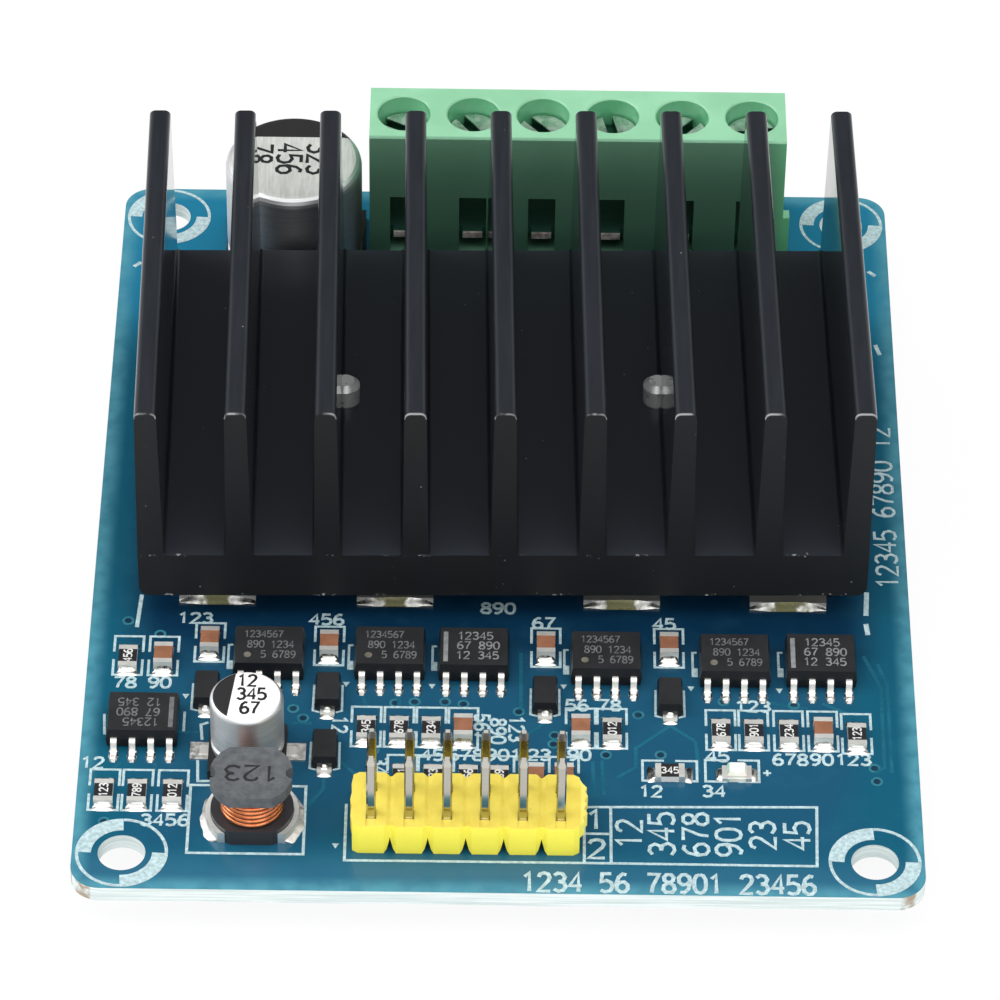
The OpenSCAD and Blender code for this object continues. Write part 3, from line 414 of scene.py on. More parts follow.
def sink_paint():
    p = Paint("black_anodise", Specular_IOR_Level=0.36)
    grain = p.noise(2.2, 5, 0.65, p.moved(scale=(1, 0.08, 1)))
    base = p.blend(p.band(grain, 0.3, 0.75), (0.013, 0.0155, 0.0195), (0.018, 0.0212, 0.0265))
    dust = p.band(p.cells(0.8), 0.055, 0.02)
    dust = p.math("MULTIPLY", dust, p.band(p.noise(0.35, 2), 0.5, 0.62))
    turn = p.moved(turn=(0, 0, math.radians(-1.0)))
    x, y, z = p.axes(turn)
    # Distance from the middle of the nearest fin, and from the centre of its rounded corner
    step = p.math("ADD", p.math("DIVIDE", p.math("ADD", x, 0.045), 6.1), 50.5)
    off = p.math("MULTIPLY", p.math("ABSOLUTE", p.math("SUBTRACT", p.math("FRACT", step), 0.5)), 6.1)
    out = p.math("MAXIMUM", p.math("SUBTRACT", off, 0.3), 0.0)
    rise = p.math("MAXIMUM", p.math("SUBTRACT", z, 20.2), 0.0)
    corner = p.math("SQRT", p.math("ADD", p.math("MULTIPLY", out, out), p.math("MULTIPLY", rise, rise)))
    edge_front = p.band(y, -9.86, -9.95)
    rim = p.math("MULTIPLY", p.band(corner, 0.36, 0.42, 0.0, 0.75), p.band(z, 20.15, 20.25))
    tip_nick = p.math("MULTIPLY", rim, p.band(p.noise(0.5, 3, 0.6), 0.38, 0.52))
    fine = p.band(p.noise(3.2, 3, 0.6), 0.54, 0.64)
    floor_edge = p.math("MULTIPLY", p.band(p.math("ABSOLUTE", p.math("SUBTRACT", z, 7.42)), 0.12, 0.04),
                        p.band(p.noise(0.35, 1), 0.54, 0.64))
    foot = p.math("MULTIPLY", p.band(z, 3.85, 3.7), p.band(p.noise(0.4, 1), 0.55, 0.63))
    low_nick = p.math("MULTIPLY", p.math("MAXIMUM", floor_edge, foot), fine)
    nick = p.math("MULTIPLY", p.math("MAXIMUM", tip_nick, low_nick), edge_front)
    bare = p.math("MAXIMUM", dust, nick)
    # The sawn front is duller than the drawn faces; its darker colour is partly the sawn finish and partly
    # painted shade on the faces turned to the front.
    sawn_and_shaded = p.band(p.normal()[1], -0.5, -0.9)
    base = p.blend(sawn_and_shaded, base, (0.0035, 0.0042, 0.006))
    # Painted light: the upward faces low in the channels, between the fins, are painted lighter.
    floor = p.math("MULTIPLY", p.band(p.up(), 0.8, 0.95), p.band(z, 9.0, 8.0))
    base = p.blend(floor, base, (0.023, 0.0265, 0.034))
    p.set("Base Color", p.blend(bare, base, (0.36, 0.37, 0.38)))
    # The flanks of the fins are drawn smooth and mirror what stands beside them
    flank = p.band(p.math("ABSOLUTE", p.normal()[0]), 0.85, 0.97)
    dull = p.math("ADD", p.band(flank, 0, 1, 0.3, 0.08), p.math("MULTIPLY", sawn_and_shaded, 0.2))
    p.set("Roughness", dull)
    soft = p.math("MULTIPLY", grain, p.band(flank, 0, 1, 0.5, 0.12))
    p.bump(p.math("ADD", soft, p.math("MULTIPLY", bare, -0.8)), 0.004, 0.4)
    return p.mat


def metal(name, colour, other, rough, scale=1.5, bump=0.01, **sockets):
    p = Paint(name, Metallic=1.0, **sockets)
    tone = p.noise(scale, 4, 0.6)
    p.set("Base Color", p.blend(p.band(tone, 0.3, 0.7), colour, other))
    p.set("Roughness", p.band(p.noise(scale * 2, 4), 0.3, 0.7, rough * 0.75, rough * 1.3))
    p.bump(p.noise(scale * 0.8, 2, 0.4), bump, 0.6)
    return p


def can_paint():
    """Drawn aluminium, brushed round its axis; the tops are almost non-metallic and the larger one near-white, a
    painted sheen of the light above them, with a black segment on one side.
    """
    p = Paint("drawn_aluminium", Metallic=1.0)
    lines = p.noise(1.0, 4, 0.6, p.moved(scale=(0.5, 0.5, 14)))
    top = p.band(p.up(), 0.8, 0.95)
    side = p.blend(p.band(lines, 0.3, 0.7), (0.58, 0.59, 0.6), (0.72, 0.73, 0.74))
    x, y, z = p.axes()
    large = p.band(y, 0.0, 5.0)
    brushed = p.noise(1.0, 4, 0.6, p.moved(scale=(5, 0.6, 1)))
    plain = p.blend(p.band(brushed, 0.3, 0.7), (0.42, 0.43, 0.41), (0.54, 0.55, 0.52))
    # Painted sheen: the larger can's top is painted near-white.
    tone = p.blend(top, side, p.blend(large, (0.84, 0.84, 0.82), plain))
    lo, hi = box_mm("bulk_capacitor_can")
    line = (lo.y + hi.y) / 2 + 0.478 * (hi.x - lo.x) / 2
    dark = p.math("MULTIPLY", p.band(y, line - 0.02, line + 0.02), p.band(p.up(), 0.45, 0.5))
    lo, hi = box_mm("small_capacitor_can")
    r = (hi.x - lo.x) / 2
    lean = p.math("MULTIPLY", p.math("SUBTRACT", y, (lo.y + hi.y) / 2 + 0.898 * r), 0.114)
    edge = p.math("SUBTRACT", x, p.math("ADD", lean, (lo.x + hi.x) / 2 - 0.309 * r))
    left = p.math("MULTIPLY", p.band(edge, 0.02, -0.02), p.band(p.up(), 0.85, 0.9))
    dark = p.math("MAXIMUM", dark, p.math("MULTIPLY", left, p.math("SUBTRACT", 1.0, large)))
    p.set("Base Color", p.blend(dark, tone, (0.012, 0.012, 0.013)))
    # The tops are drawn almost non-metallic, as part of the painted sheen.
    p.set("Metallic", p.band(p.math("MAXIMUM", top, dark), 0, 1, 1.0, 0.1))
    p.set("Roughness", 0.5)
    p.bump(lines, 0.004, 0.5)
    return p.mat


def ferrite_paint():
    p = Paint("pressed_ferrite", Specular_IOR_Level=0.45)
    x, y, z = p.axes()
    tone = p.blend(p.band(p.noise(1.6, 5, 0.65), 0.3, 0.7), (0.062, 0.068, 0.075), (0.105, 0.113, 0.12))
    # Painted shade: below the top flange the core is painted darker.
    lower = p.band(z, 3.6, 3.2)
    tone = p.blend(lower, tone, (0.024, 0.025, 0.029))
    pits = p.band(p.cells(2.2), 0.14, 0.05)
    p.set("Base Color", p.blend(p.math("MULTIPLY", pits, 0.5), tone, (0.02, 0.02, 0.022)))
    p.set("Roughness", p.band(p.noise(1.1, 3), 0.3, 0.7, 0.38, 0.55))
    p.bump(p.math("SUBTRACT", p.noise(5, 5, 0.7), pits), 0.02, 0.6)
    return p.mat


def glaze_paint():
    p = speckled("resistor_glaze", (0.012, 0.012, 0.014), (0.02, 0.02, 0.022), 1.5, (0.3, 0.42), 0.004)
    sides = p.band(p.up(), 0.5, 0.7)
    p.set("Base Color", p.blend(sides, (0.7, 0.71, 0.69), (0.014, 0.014, 0.016)))
    return p.mat


def lead_paint():
    """Tinned leads and end caps: bright and a little uneven."""
    p = metal("tinned_lead", (0.66, 0.65, 0.62), (0.8, 0.79, 0.77), 0.24, 1.2, 0.006)
    x, y, z = p.axes()
    pins = p.math("MULTIPLY", p.band(z, 3.7, 3.8), p.band(y, -20.0, -21.0))
    bright = p.blend(p.band(p.noise(1.0, 3), 0.3, 0.7), (0.84, 0.83, 0.79), (0.95, 0.94, 0.9))
    # Painted light and shade: on the header pins, the upward faces are painted lighter and the sides darker.
    slope = p.band(p.up(), 0.2, 0.5)
    tone = p.blend(pins, bright, p.blend(slope, (0.44, 0.425, 0.385), (0.8, 0.78, 0.71)))
    # Painted shade: inside the terminal block the metal is painted a dull dark green, and the front edge of each
    # contact a bright painted highlight.
    inside = p.math("MULTIPLY", p.band(y, 26.02, 26.1), p.band(z, -0.2, 0.2))
    tone = p.blend(inside, tone, (0.03, 0.12, 0.085))
    contact_highlight = p.math("MULTIPLY", p.band(y, 25.2, 25.3), p.band(y, 26.1, 26.02))
    contact_highlight = p.math("MULTIPLY", contact_highlight, p.band(z, 2.0, 3.0))
    tone = p.blend(contact_highlight, tone, p.blend(p.band(p.noise(1.5, 3), 0.3, 0.7), (0.3, 0.25, 0.21), (0.95, 0.85, 0.78)))
    p.set("Base Color", tone)
    p.set("Metallic", p.band(p.math("MAXIMUM", contact_highlight, inside), 0, 1, 1.0, 0.15))
    smooth = p.blend(pins, (0.5, 0.5, 0.5), p.blend(slope, (0.12, 0.12, 0.12), (0.5, 0.5, 0.5)))
    p.set("Roughness", smooth)
    relief = p.math("MULTIPLY", p.noise(1.0, 2, 0.4), p.math("SUBTRACT", 1.0, pins))
    p.bump(relief, 0.004, 0.5)
    return p.mat


def solder_paint():
    p = metal("solder", (0.5, 0.5, 0.48), (0.66, 0.66, 0.63), 0.24, 1.2, 0.006)
    return p.mat


def flux_paint():
    """Solder at the foot of a power tab, with a yellow-green drop of flux over its middle."""
    p = metal("fluxed_solder", (0.4, 0.4, 0.38), (0.75, 0.75, 0.73), 0.3, 1.4, 0.02)
    x, y, z = p.axes(p.local)
    off = p.math("ADD", x, p.math("MULTIPLY", p.math("SUBTRACT", p.noise(0.9, 3), 0.5), 0.6))
    mask = p.math("MULTIPLY", p.band(off, 0.22, 0.34), p.band(off, 0.74, 0.62))
    base = p.blend(p.band(p.noise(2.0, 4), 0.3, 0.7), (0.26, 0.26, 0.24), (0.64, 0.64, 0.61))
    p.set("Base Color", p.blend(mask, base, (0.11, 0.108, 0.03)))
    p.set("Metallic", p.band(mask, 0.2, 0.8, 1.0, 0.25))
    return p.mat


HEAD = box_mm("terminal_screws")[1].z


def steel_paint():
    p = metal("plated_steel", (0.7, 0.71, 0.7), (0.82, 0.83, 0.82), 0.34, 0.9, 0.0)
    x, y, z = p.axes()
    # The slots of the clamp screws lie in shade
    slot = p.math("MULTIPLY", p.band(y, 20.0, 21.0), p.band(z, HEAD - 0.06, HEAD - 0.16))
    bright = p.blend(p.band(p.noise(0.9, 4, 0.6), 0.3, 0.7), (0.7, 0.71, 0.7), (0.82, 0.83, 0.82))
    p.set("Base Color", p.blend(slot, bright, (0.05, 0.15, 0.11)))
    p.set("Metallic", p.band(y, 20.0, 21.0, 0.55, 1.0))
    return p.mat


FACE = box_mm("terminal_housing")[0].y


def terminal_paint():
    p = Paint("terminal_green", Specular_IOR_Level=0.45)
    x, y, z = p.axes()
    tone = p.blend(p.band(p.noise(0.25, 3), 0.3, 0.7), (0.22, 0.47, 0.29), (0.26, 0.53, 0.34))
    # Painted shade: the faces set back from the front, such as the recess walls, sides and back, are painted a
    # deeper green.
    set_back_shade = p.math("MULTIPLY", p.band(p.up(), 0.7, 0.5), p.band(y, FACE + 0.1, FACE + 0.3))
    tone = p.blend(set_back_shade, tone, (0.13, 0.44, 0.23))
    # Painted shade and light: the front wall between the fins is painted in a deeper tone toward the board,
    # standing for the heatsink's shade, and the ends of the front beyond the fins are painted a lighter green.
    face = p.band(y, FACE + 0.3, FACE + 0.1)
    face = p.math("MAXIMUM", face, p.math("MULTIPLY", p.band(y, FACE + 5.0, FACE + 4.5), p.band(z, 12.5, 12.0)))
    between = p.band(p.math("ABSOLUTE", x), 20.5, 18.0)
    fin_shade = p.math("MULTIPLY", p.math("MULTIPLY", face, between), p.band(z, 17.5, 10.0, 0.45, 0.85))
    ends = p.math("MULTIPLY", face, p.math("SUBTRACT", 1.0, between))
    tone = p.blend(p.math("MULTIPLY", ends, p.band(p.up(), 0.7, 0.5)), tone, (0.2, 0.62, 0.33))
    tone = p.blend(fin_shade, tone, (0.075, 0.2, 0.13))
    p.set("Base Color", tone)
    p.shader.inputs["Subsurface Weight"].default_value = 0.12
    p.shader.inputs["Subsurface Radius"].default_value = (0.4, 1.0, 0.5)
    p.shader.inputs["Subsurface Scale"].default_value = 0.8 * MM
    p.set("Roughness", p.band(p.noise(0.9, 4), 0.3, 0.7, 0.3, 0.42))
    p.bump(p.noise(5, 5, 0.65), 0.008, 0.7)
    return p.mat


def header_paint():
    p = Paint("header_yellow", Specular_IOR_Level=0.4)
    x, y, z = p.axes()
    tone = p.blend(p.band(p.noise(0.8, 3), 0.3, 0.7), (0.7, 0.56, 0.08), (0.77, 0.63, 0.1))
    # Painted light: the faces turned to the front are painted a brighter lemon than the top.
    tone = p.blend(p.band(p.normal()[1], -0.3, -0.7), tone, (0.97, 0.86, 0.09))
    specks = p.math("MULTIPLY", p.band(p.cells(1.1), 0.09, 0.04), p.band(p.noise(0.8, 2), 0.5, 0.6))
    tone = p.blend(p.math("MULTIPLY", specks, 0.6), tone, (0.2, 0.14, 0.03))
    torn = p.math("MULTIPLY", p.band(x, 5.42, 5.55), 0.35)
    p.set("Base Color", p.blend(torn, tone, (0.95, 0.85, 0.25)))
    p.shader.inputs["Subsurface Weight"].default_value = 0.15
    p.shader.inputs["Subsurface Radius"].default_value = (1.0, 0.7, 0.1)
    p.shader.inputs["Subsurface Scale"].default_value = 0.5 * MM
    p.set("Roughness", p.band(p.noise(2, 4), 0.3, 0.7, 0.38, 0.5))
    p.bump(p.noise(3.5, 5, 0.65), 0.02, 0.6)
    return p.mat


def package_paint():
    """Moulded epoxy: matt top with a fine grain, glossier slopes."""
    p = Paint("moulded_epoxy", Specular_IOR_Level=0.3)
    grain = p.noise(9, 5, 0.7)
    top = p.band(p.up(), 0.85, 0.97)
    tone = p.blend(p.band(p.noise(0.6, 3), 0.3, 0.7), (0.009, 0.0095, 0.0105), (0.014, 0.0145, 0.016))
    p.set("Base Color", p.blend(top, (0.007, 0.0075, 0.009), tone))
    p.set("Roughness", p.band(top, 0, 1, 0.34, 0.6))
    p.bump(grain, 0.01, 0.8)
    return p.mat


def ceramic_paint():
    p = Paint("chip_ceramic", Specular_IOR_Level=0.4)
    tone = p.band(p.noise(1.1, 5, 0.6), 0.3, 0.7)
    p.set("Base Color", p.blend(tone, (0.2, 0.082, 0.042), (0.28, 0.12, 0.065)))
    p.set("Roughness", p.band(p.noise(3, 3), 0.3, 0.7, 0.42, 0.55))
    p.bump(p.noise(6, 5, 0.6), 0.01, 0.7)
    return p.mat


def copper_paint():
    p = Paint("enamelled_copper", Metallic=1.0, Coat_Weight=0.4, Coat_Roughness=0.15)
    tone = p.band(p.noise(1.3, 4), 0.3, 0.7)
    p.set("Base Color", p.blend(tone, (0.55, 0.15, 0.05), (0.72, 0.25, 0.1)))
    p.set("Roughness", p.band(p.noise(2, 3), 0.3, 0.7, 0.2, 0.32))
    return p.mat


def print_paint(name, colour, wear=0.5, grain=2.2):
    """Screen or stamp print, a little uneven."""
    p = Paint(name, Specular_IOR_Level=0.3)
    tone = p.band(p.noise(grain, 4, 0.65), 0.3, 0.72)
    dim = tuple(c * wear for c in colour)
    p.set("Base Color", p.blend(tone, dim, colour))
    p.set("Roughness", p.band(p.noise(3, 3), 0.3, 0.7, 0.5, 0.65))
    p.bump(p.noise(7, 4), 0.01, 0.5)
    return p.mat


def lens_paint():
    p = Paint("lens_resin", Specular_IOR_Level=0.5)
    x, y, z = p.axes()
    # Painted glints: green patches on the left of the lens.
    green_glint = p.math("MULTIPLY", p.band(x, 15.75, 15.5), p.band(p.noise(3, 2), 0.4, 0.55))
    tone = p.blend(p.band(p.noise(1.5, 3), 0.3, 0.7), (0.74, 0.74, 0.66), (0.86, 0.85, 0.8))
    p.set("Base Color", p.blend(p.math("MULTIPLY", green_glint, 0.8), tone, (0.05, 0.5, 0.32)))
    p.shader.inputs["Subsurface Weight"].default_value = 0.4
    p.shader.inputs["Subsurface Scale"].default_value = 0.3 * MM
    p.set("Roughness", p.band(p.noise(2, 3), 0.3, 0.7, 0.25, 0.4))
    p.bump(p.noise(4, 3), 0.01, 0.5)
    return p.mat


SOLDER = solder_paint()
SILK = print_paint("silk_print", (0.47, 0.62, 0.65), 0.6, 3.2)
FINISH = {
    "board_laminate": board_paint(),
    "anodised_aluminium": sink_paint(),
    "silicone_pad": speckled("silicone_pad", (0.07, 0.075, 0.085), (0.1, 0.105, 0.12), 1.2).mat,
    "screw_steel": steel_paint(),
    "tinned_metal": lead_paint(),
    "terminal_green": terminal_paint(),
    "header_yellow": header_paint(),
    "can_aluminium": can_paint(),
    "package_black": package_paint(),
    "ferrite": ferrite_paint(),
    "copper_wire": copper_paint(),
    "resistor_glaze": glaze_paint(),
    "ceramic": ceramic_paint(),
    "led_resin": lens_paint(),
}
for node in NODES.values():
    for i, old in enumerate(node.data.materials):
        node.data.materials[i] = FINISH[old.name.split(".")[0]]


# Board print

silk = Shape()

# Rings round the mounting holes: two solid quarters, two thin outer lines
for hx in (-25.25, 25.25):
    for hy in (-32.75, 32.75):
        for start in (90, 270):
            ring_sector(silk, hx, hy, 2.05, 3.12, start, start + 90)
        for start in (0, 180):
            ring_sector(silk, hx, hy, 2.9, 3.12, start, start + 90)

LINES = [
    (0.28, [(-25.18, -7.98), (-25.36, -11.23)]),
    (0.35, [(25.67, -6.84), (25.54, -9.16)]),
    (0.35, [(25.50, -10.0), (25.60, -11.09)]),
    (0.18, [(-27.14, -19.75), (-27.02, -21.72)]),
    (0.18, [(-21.64, -19.44), (-21.63, -21.31)]),
    (0.2, [(-20.33, -22.12), (-20.47, -20.67), (-19.96, -20.45)]),
    (0.2, [(-20.54, -24.08), (-20.45, -26.03), (-19.64, -26.01)]),
    (0.2, [(-10.31, -27.98), (-10.31, -33.2), (5.76, -33.17)]),
    (0.2, [(7.56, -27.98), (7.56, -33.17)]),
    (0.2, [(5.76, -30.47), (7.56, -30.47)]),
    (0.3, [(27.1, 27.5), (27.6, 27.0)]),
    (0.3, [(27.3, 19.3), (27.6, 18.2)]),
    (0.3, [(-27.1, 27.5), (-27.6, 27.0)]),
]
for width, points in LINES:
    silk.ribbon(points, width)
LOOPS = [
    [(-20.90, -26.4), (-13.09, -26.4), (-13.09, -32.7), (-20.90, -32.7)],
    [(5.77, -28.0), (21.5, -27.75), (21.35, -33.2), (5.76, -33.17)],
]
for points in LOOPS:
    silk.ribbon(points, 0.2, closed=True)


def brackets(x, y, half_w, half_h, across=False):
    """Two facing brackets round a chip, with a gap in the middle of each long side."""
    for side in (1, -1):
        gap = 0.38
        points = [(-half_w, side * gap), (-half_w, side * half_h), (half_w, side * half_h),
                  (half_w, side * gap)]
        points = [(x + b, y + a) if across else (x + a, y + b) for a, b in points]
        silk.ribbon(points, 0.18)


def chips(node, ends):
    """Centre and size of each chip's body, and whether its metal ends lie along X."""
    metal_at = [(lo + hi) / 2 for lo, hi in islands(ends)]
    found = []
    for lo, hi in islands(node):
        centre = (lo + hi) / 2
        near = min(metal_at, key=lambda m: (m - centre).length)
        found.append((centre, hi - lo, abs(near.x - centre.x) > abs(near.y - centre.y)))
    return found


RESISTORS = chips("resistor_bodies", "resistor_ends")
CAPACITORS = chips("capacitor_bodies", "capacitor_ends")
for centre, size, across in RESISTORS + CAPACITORS:
    if across:
        brackets(centre.x, centre.y + 0.4, 0.95, 1.85, True)
    else:
        shift = 0.25 if centre.y > -13.4 else 0.45
        brackets(centre.x, centre.y + shift, 1.0, 1.9)
brackets(15.85, -24.44, 1.01, 1.82, True)
silk.ribbon([(17.95, -24.59), (18.5, -24.59)], 0.16)
silk.ribbon([(18.23, -24.31), (18.23, -24.87)], 0.16)

# Left-hand brackets of the eight-lead packages, with a filled lower end
for name in ("gate_driver_1", "gate_driver_2", "gate_driver_3", "gate_driver_4",
             "comparator_1", "comparator_2"):
    lo, hi = box_mm(name + "_body")
    x = lo.x - 0.42
    y = lo.y + 3.5
    silk.ribbon([(x + 0.3, y), (x, y - 0.02), (x, y - 2.3)], 0.17)
    silk.prism([(x - 0.08, y - 2.4), (x + 0.34, y - 2.4), (x + 0.34, y - 1.55), (x - 0.08, y - 1.55)],
               TOP, TOP + PRINT)

# Pin-1 marks
for x, y in ((-21.64, -17.97), (-10.63, -16.61), (-4.7, -16.7), (4.38, -16.59), (13.17, -16.62),
             (19.27, -16.72), (-10.94, -31.91)):
    silk.prism([(x - 0.24, y + 0.24), (x, y - 0.22), (x + 0.24, y + 0.24)], TOP, TOP + PRINT)

# Two-sided frames of the diodes
for lo, hi in islands("diode_bodies"):
    silk.ribbon([(lo.x - 0.1, hi.y - 0.3), (lo.x - 0.13, lo.y + 0.05), (lo.x + 0.35, lo.y - 0.1)], 0.16)
    silk.ribbon([(hi.x + 0.1, hi.y - 0.3), (hi.x + 0.12, lo.y + 0.05), (hi.x - 0.3, lo.y - 0.1)], 0.16)

# Reference numbers: text, x, y, turn
REFERENCES = [
    ("12", -27.68, -24.41, 0), ("34", -23.35, -29.72, 0), ("56", -21.67, -29.69, 0),
    ("78", -25.89, -16.68, 0), ("90", -23.50, -16.64, 0), ("123", -21.32, -10.25, 0),
    ("456", -12.16, -10.24, 0), ("12", -10.97, -20.50, 270), ("34", -8.13, -24.37, 270),
    ("56", 5.30, -18.34, 0), ("78", 7.55, -18.30, 0), ("90", 5.45, -23.10, 0),
    ("123", 17.40, -18.24, 0), ("45", 14.88, -23.05, 0), ("678", 19.84, -23.30, 0),
    ("90", 21.99, -23.26, 0), ("123", 24.14, -23.23, 0), ("45", 11.41, -10.26, 0),
    ("67", 2.99, -10.32, 0), ("890", -0.20, -8.90, 0), ("12", 10.29, -26.45, 0),
    ("34", 14.57, -26.37, 0), ("567", -1.22, -20.53, 270), ("890", -0.10, -20.93, 270),
    ("123", 1.16, -20.70, 270), ("45", -4.59, -23.28, 0), ("678", -2.30, -23.24, 0),
    ("901", 0.28, -23.20, 0), ("23", 2.72, -23.15, 0),
]
for string, x, y, turn in REFERENCES:
    number(silk, string, x, y, 1.0, 0.84, turn, stroke=0.2)

# Column numbers of the header, row numbers at its end, and the scale along the front edge
for string, x in (("12", 8.78), ("345", 10.98), ("678", 13.27), ("901", 15.47), ("23", 17.76),
                  ("45", 20.12)):
    number(silk, string, x, -30.4, 1.7, 1.4, 90, stroke=0.24)
number(silk, "1", 6.5, -29.15, 1.7, 1.4, stroke=0.26)
number(silk, "2", 6.6, -31.85, 1.7, 1.4, stroke=0.26)
number(silk, "1234 56 78901 23456", 11.4, -34.95, 1.66, 1.04, stroke=0.27)
number(silk, "12345 67890 12", 27.2, 2.0, 1.5, 1.2, 90, stroke=0.2)
silk.make("board_print", SILK)


# Copper under the mask, and pads

MASK_RAISED = speckled("masked_track", (0.006, 0.088, 0.14), (0.01, 0.105, 0.165), 0.6, (0.2, 0.3),
                       0.006, 3).mat
MASK_RING = speckled("masked_ring", (0.015, 0.12, 0.17), (0.03, 0.16, 0.21), 1.4, (0.25, 0.35)).mat
# Painted shade: the via holes are drawn as dark discs on the mask.
VIA_SHADE = speckled("via_hole_shade", (0.003, 0.02, 0.045), (0.005, 0.03, 0.06), 1.0, (0.25, 0.35)).mat
track = Shape()
TRACKS = [
    [(26.16, -13.95), (26.74, -16.07), (26.73, -24.44)],
    [(25.2, -13.2), (26.3, -16.3), (26.25, -23.9), (25.6, -24.5)],
    [(1.42, -13.3), (1.45, -18.8)], [(6.35, -23.7), (6.48, -27.0)],
    [(7.0, -23.6), (7.1, -26.9)], [(3.1, -20.1), (1.5, -21.6), (1.5, -23.0)],
    [(11.7, -20.2), (9.3, -22.4), (9.3, -24.2), (8.0, -25.2)],
    [(11.7, -20.2), (13.4, -21.7), (13.6, -24.6)],
    [(-11.9, -25.6), (-11.9, -26.6), (-12.9, -28.2)], [(-10.9, -24.0), (-8.6, -26.4)],
    [(-20.6, -21.4), (-22.3, -21.4)], [(-14.2, -20.4), (-12.9, -20.4)],
    [(-23.4, -24.4), (-23.4, -25.2)], [(-25.7, -24.4), (-26.6, -25.2)],
    [(18.5, -17.8), (20.1, -18.3), (21.2, -18.4)], [(22.2, -17.9), (24.3, -19.0)],
    [(-9.5, -17.5), (-9.2, -18.8)], [(-7.0, -17.6), (-6.9, -18.9)], [(7.4, -17.8), (8.6, -18.9)],
]
for points in TRACKS:
    track.ribbon(points, 0.26, TOP, TOP + 0.012)
VIAS = [
    (-25.99, -10.60), (9.51, -19.20), (7.27, -23.07), (25.56, -24.01), (25.68, -25.26),
    (15.40, -17.81), (20.24, -18.07), (-7.21, -18.34), (-5.87, -18.21), (-3.78, -18.17),
    (-2.51, -18.36), (1.30, -19.03), (3.76, -21.27), (3.68, -22.10), (-14.2, -19.0),
    (-13.5, -19.9), (-23.7, -11.9), (-26.6, -29.9), (11.0, -23.0), (-8.6, -22.9),
]
hole = Shape()
ring = Shape()
for x, y in VIAS:
    ring_sector(ring, x, y, 0.25, 0.42, 0, 360, TOP, TOP + 0.014)
    hole.prism(arc_points(x, y, 0.27, 0, 345, 23), TOP, TOP + 0.006)
track.make("masked_tracks", MASK_RAISED)
hole.make("via_holes", VIA_SHADE)
ring.make("via_rings", MASK_RING)

joint = Shape()
pad = Shape()
# Chip ends
for node, bodies in (("resistor_ends", RESISTORS), ("capacitor_ends", CAPACITORS)):
    for lo, hi in islands(node):
        mid = (lo + hi) / 2
        body = min(bodies, key=lambda b: (b[0].xy - mid.xy).length)
        away = mid.xy - body[0].xy
        across = abs(away.x) > abs(away.y)
        width = (hi.y - lo.y) if across else (hi.x - lo.x)
        high = (hi.z - TOP) * 0.62
        if across:
            turn = 0 if away.x > 0 else 180
            start = (hi.x - 0.05 if away.x > 0 else lo.x + 0.05, mid.y)
        else:
            turn = 90 if away.y > 0 else 270
            start = (mid.x, hi.y - 0.05 if away.y > 0 else lo.y + 0.05)
        solder(joint, start[0], start[1], turn, 0.62, width + 0.06, high, 0.13, 1.16, blunt=0.8, drop=5)
# Feet of the eight-lead packages
for name in ("gate_driver_1", "gate_driver_2", "gate_driver_3", "gate_driver_4", "comparator_1",
             "comparator_2", "regulator"):
    lo_b, hi_b = box_mm(name + "_leads")
    middle = (lo_b.y + hi_b.y) / 2
    for lo, hi in islands(name + "_leads"):
        x = (lo.x + hi.x) / 2
        front = (lo.y + hi.y) / 2 < middle
        tip = lo.y if front else hi.y
        turn = 270 if front else 90
        back = 0.55 if front else -0.55
        solder(joint, x, tip + back * 1.55, turn, 0.3, hi.x - lo.x + 0.2, 0.02, 0.06, 1.0)
        solder(joint, x, tip + back * 0.1, turn, 0.42, hi.x - lo.x + 0.2, 0.17, 0.1, 0.95, bulge=0.08, blunt=0.2)
        for side in (-1, 1):
            solder(joint, x + side * (hi.x - lo.x) / 2, tip + back * 0.5, 0 if side > 0 else 180,
                   0.14, 0.55, 0.12, 0.03, 0.95)
# Diode leads
for lo, hi in islands("diode_leads"):
    x = (lo.x + hi.x) / 2
    body = min(islands("diode_bodies"), key=lambda b: ((b[0] + b[1]) / 2 - (lo + hi) / 2).length)
    front = (lo.y + hi.y) / 2 < (body[0].y + body[1].y) / 2
    start = body[0].y if front else body[1].y
    solder(joint, x, start, 270 if front else 90, 0.8, 0.6, 0.3, 0.13, 1.8, blunt=0.85, drop=5)
# Leads of the cans
for node in ("small_capacitor_leads", "bulk_capacitor_leads"):
    for lo, hi in islands(node):
        mid = (lo + hi) / 2
        lo_b, hi_b = box_mm(node.replace("leads", "base"))
        if node.startswith("small"):
            left = mid.x < (lo_b.x + hi_b.x) / 2
            x0, x1 = (lo_b.x - 1.3, lo_b.x + 0.3) if left else (hi_b.x - 0.3, hi_b.x + 1.3)
            pad.prism([(x0, mid.y - 0.8), (x1, mid.y - 0.8), (x1, mid.y + 0.8), (x0, mid.y + 0.8)],
                      TOP - 0.01, TOP + 0.1)
        else:
            out = 270 if mid.y < (lo_b.y + hi_b.y) / 2 else 90
            start = (mid.x, lo_b.y - 0.02 if out == 270 else hi_b.y + 0.02)
            solder(joint, start[0], start[1], out, 1.1, 1.7, 0.2, 0.18, 0.95, bulge=0.06)
# Indicator ends
for turn, x in ((180, 15.2), (0, 17.1)):
    solder(joint, x, -24.85, turn, 0.5, 1.3, 0.12, 0.14, 0.95, bulge=0.08)

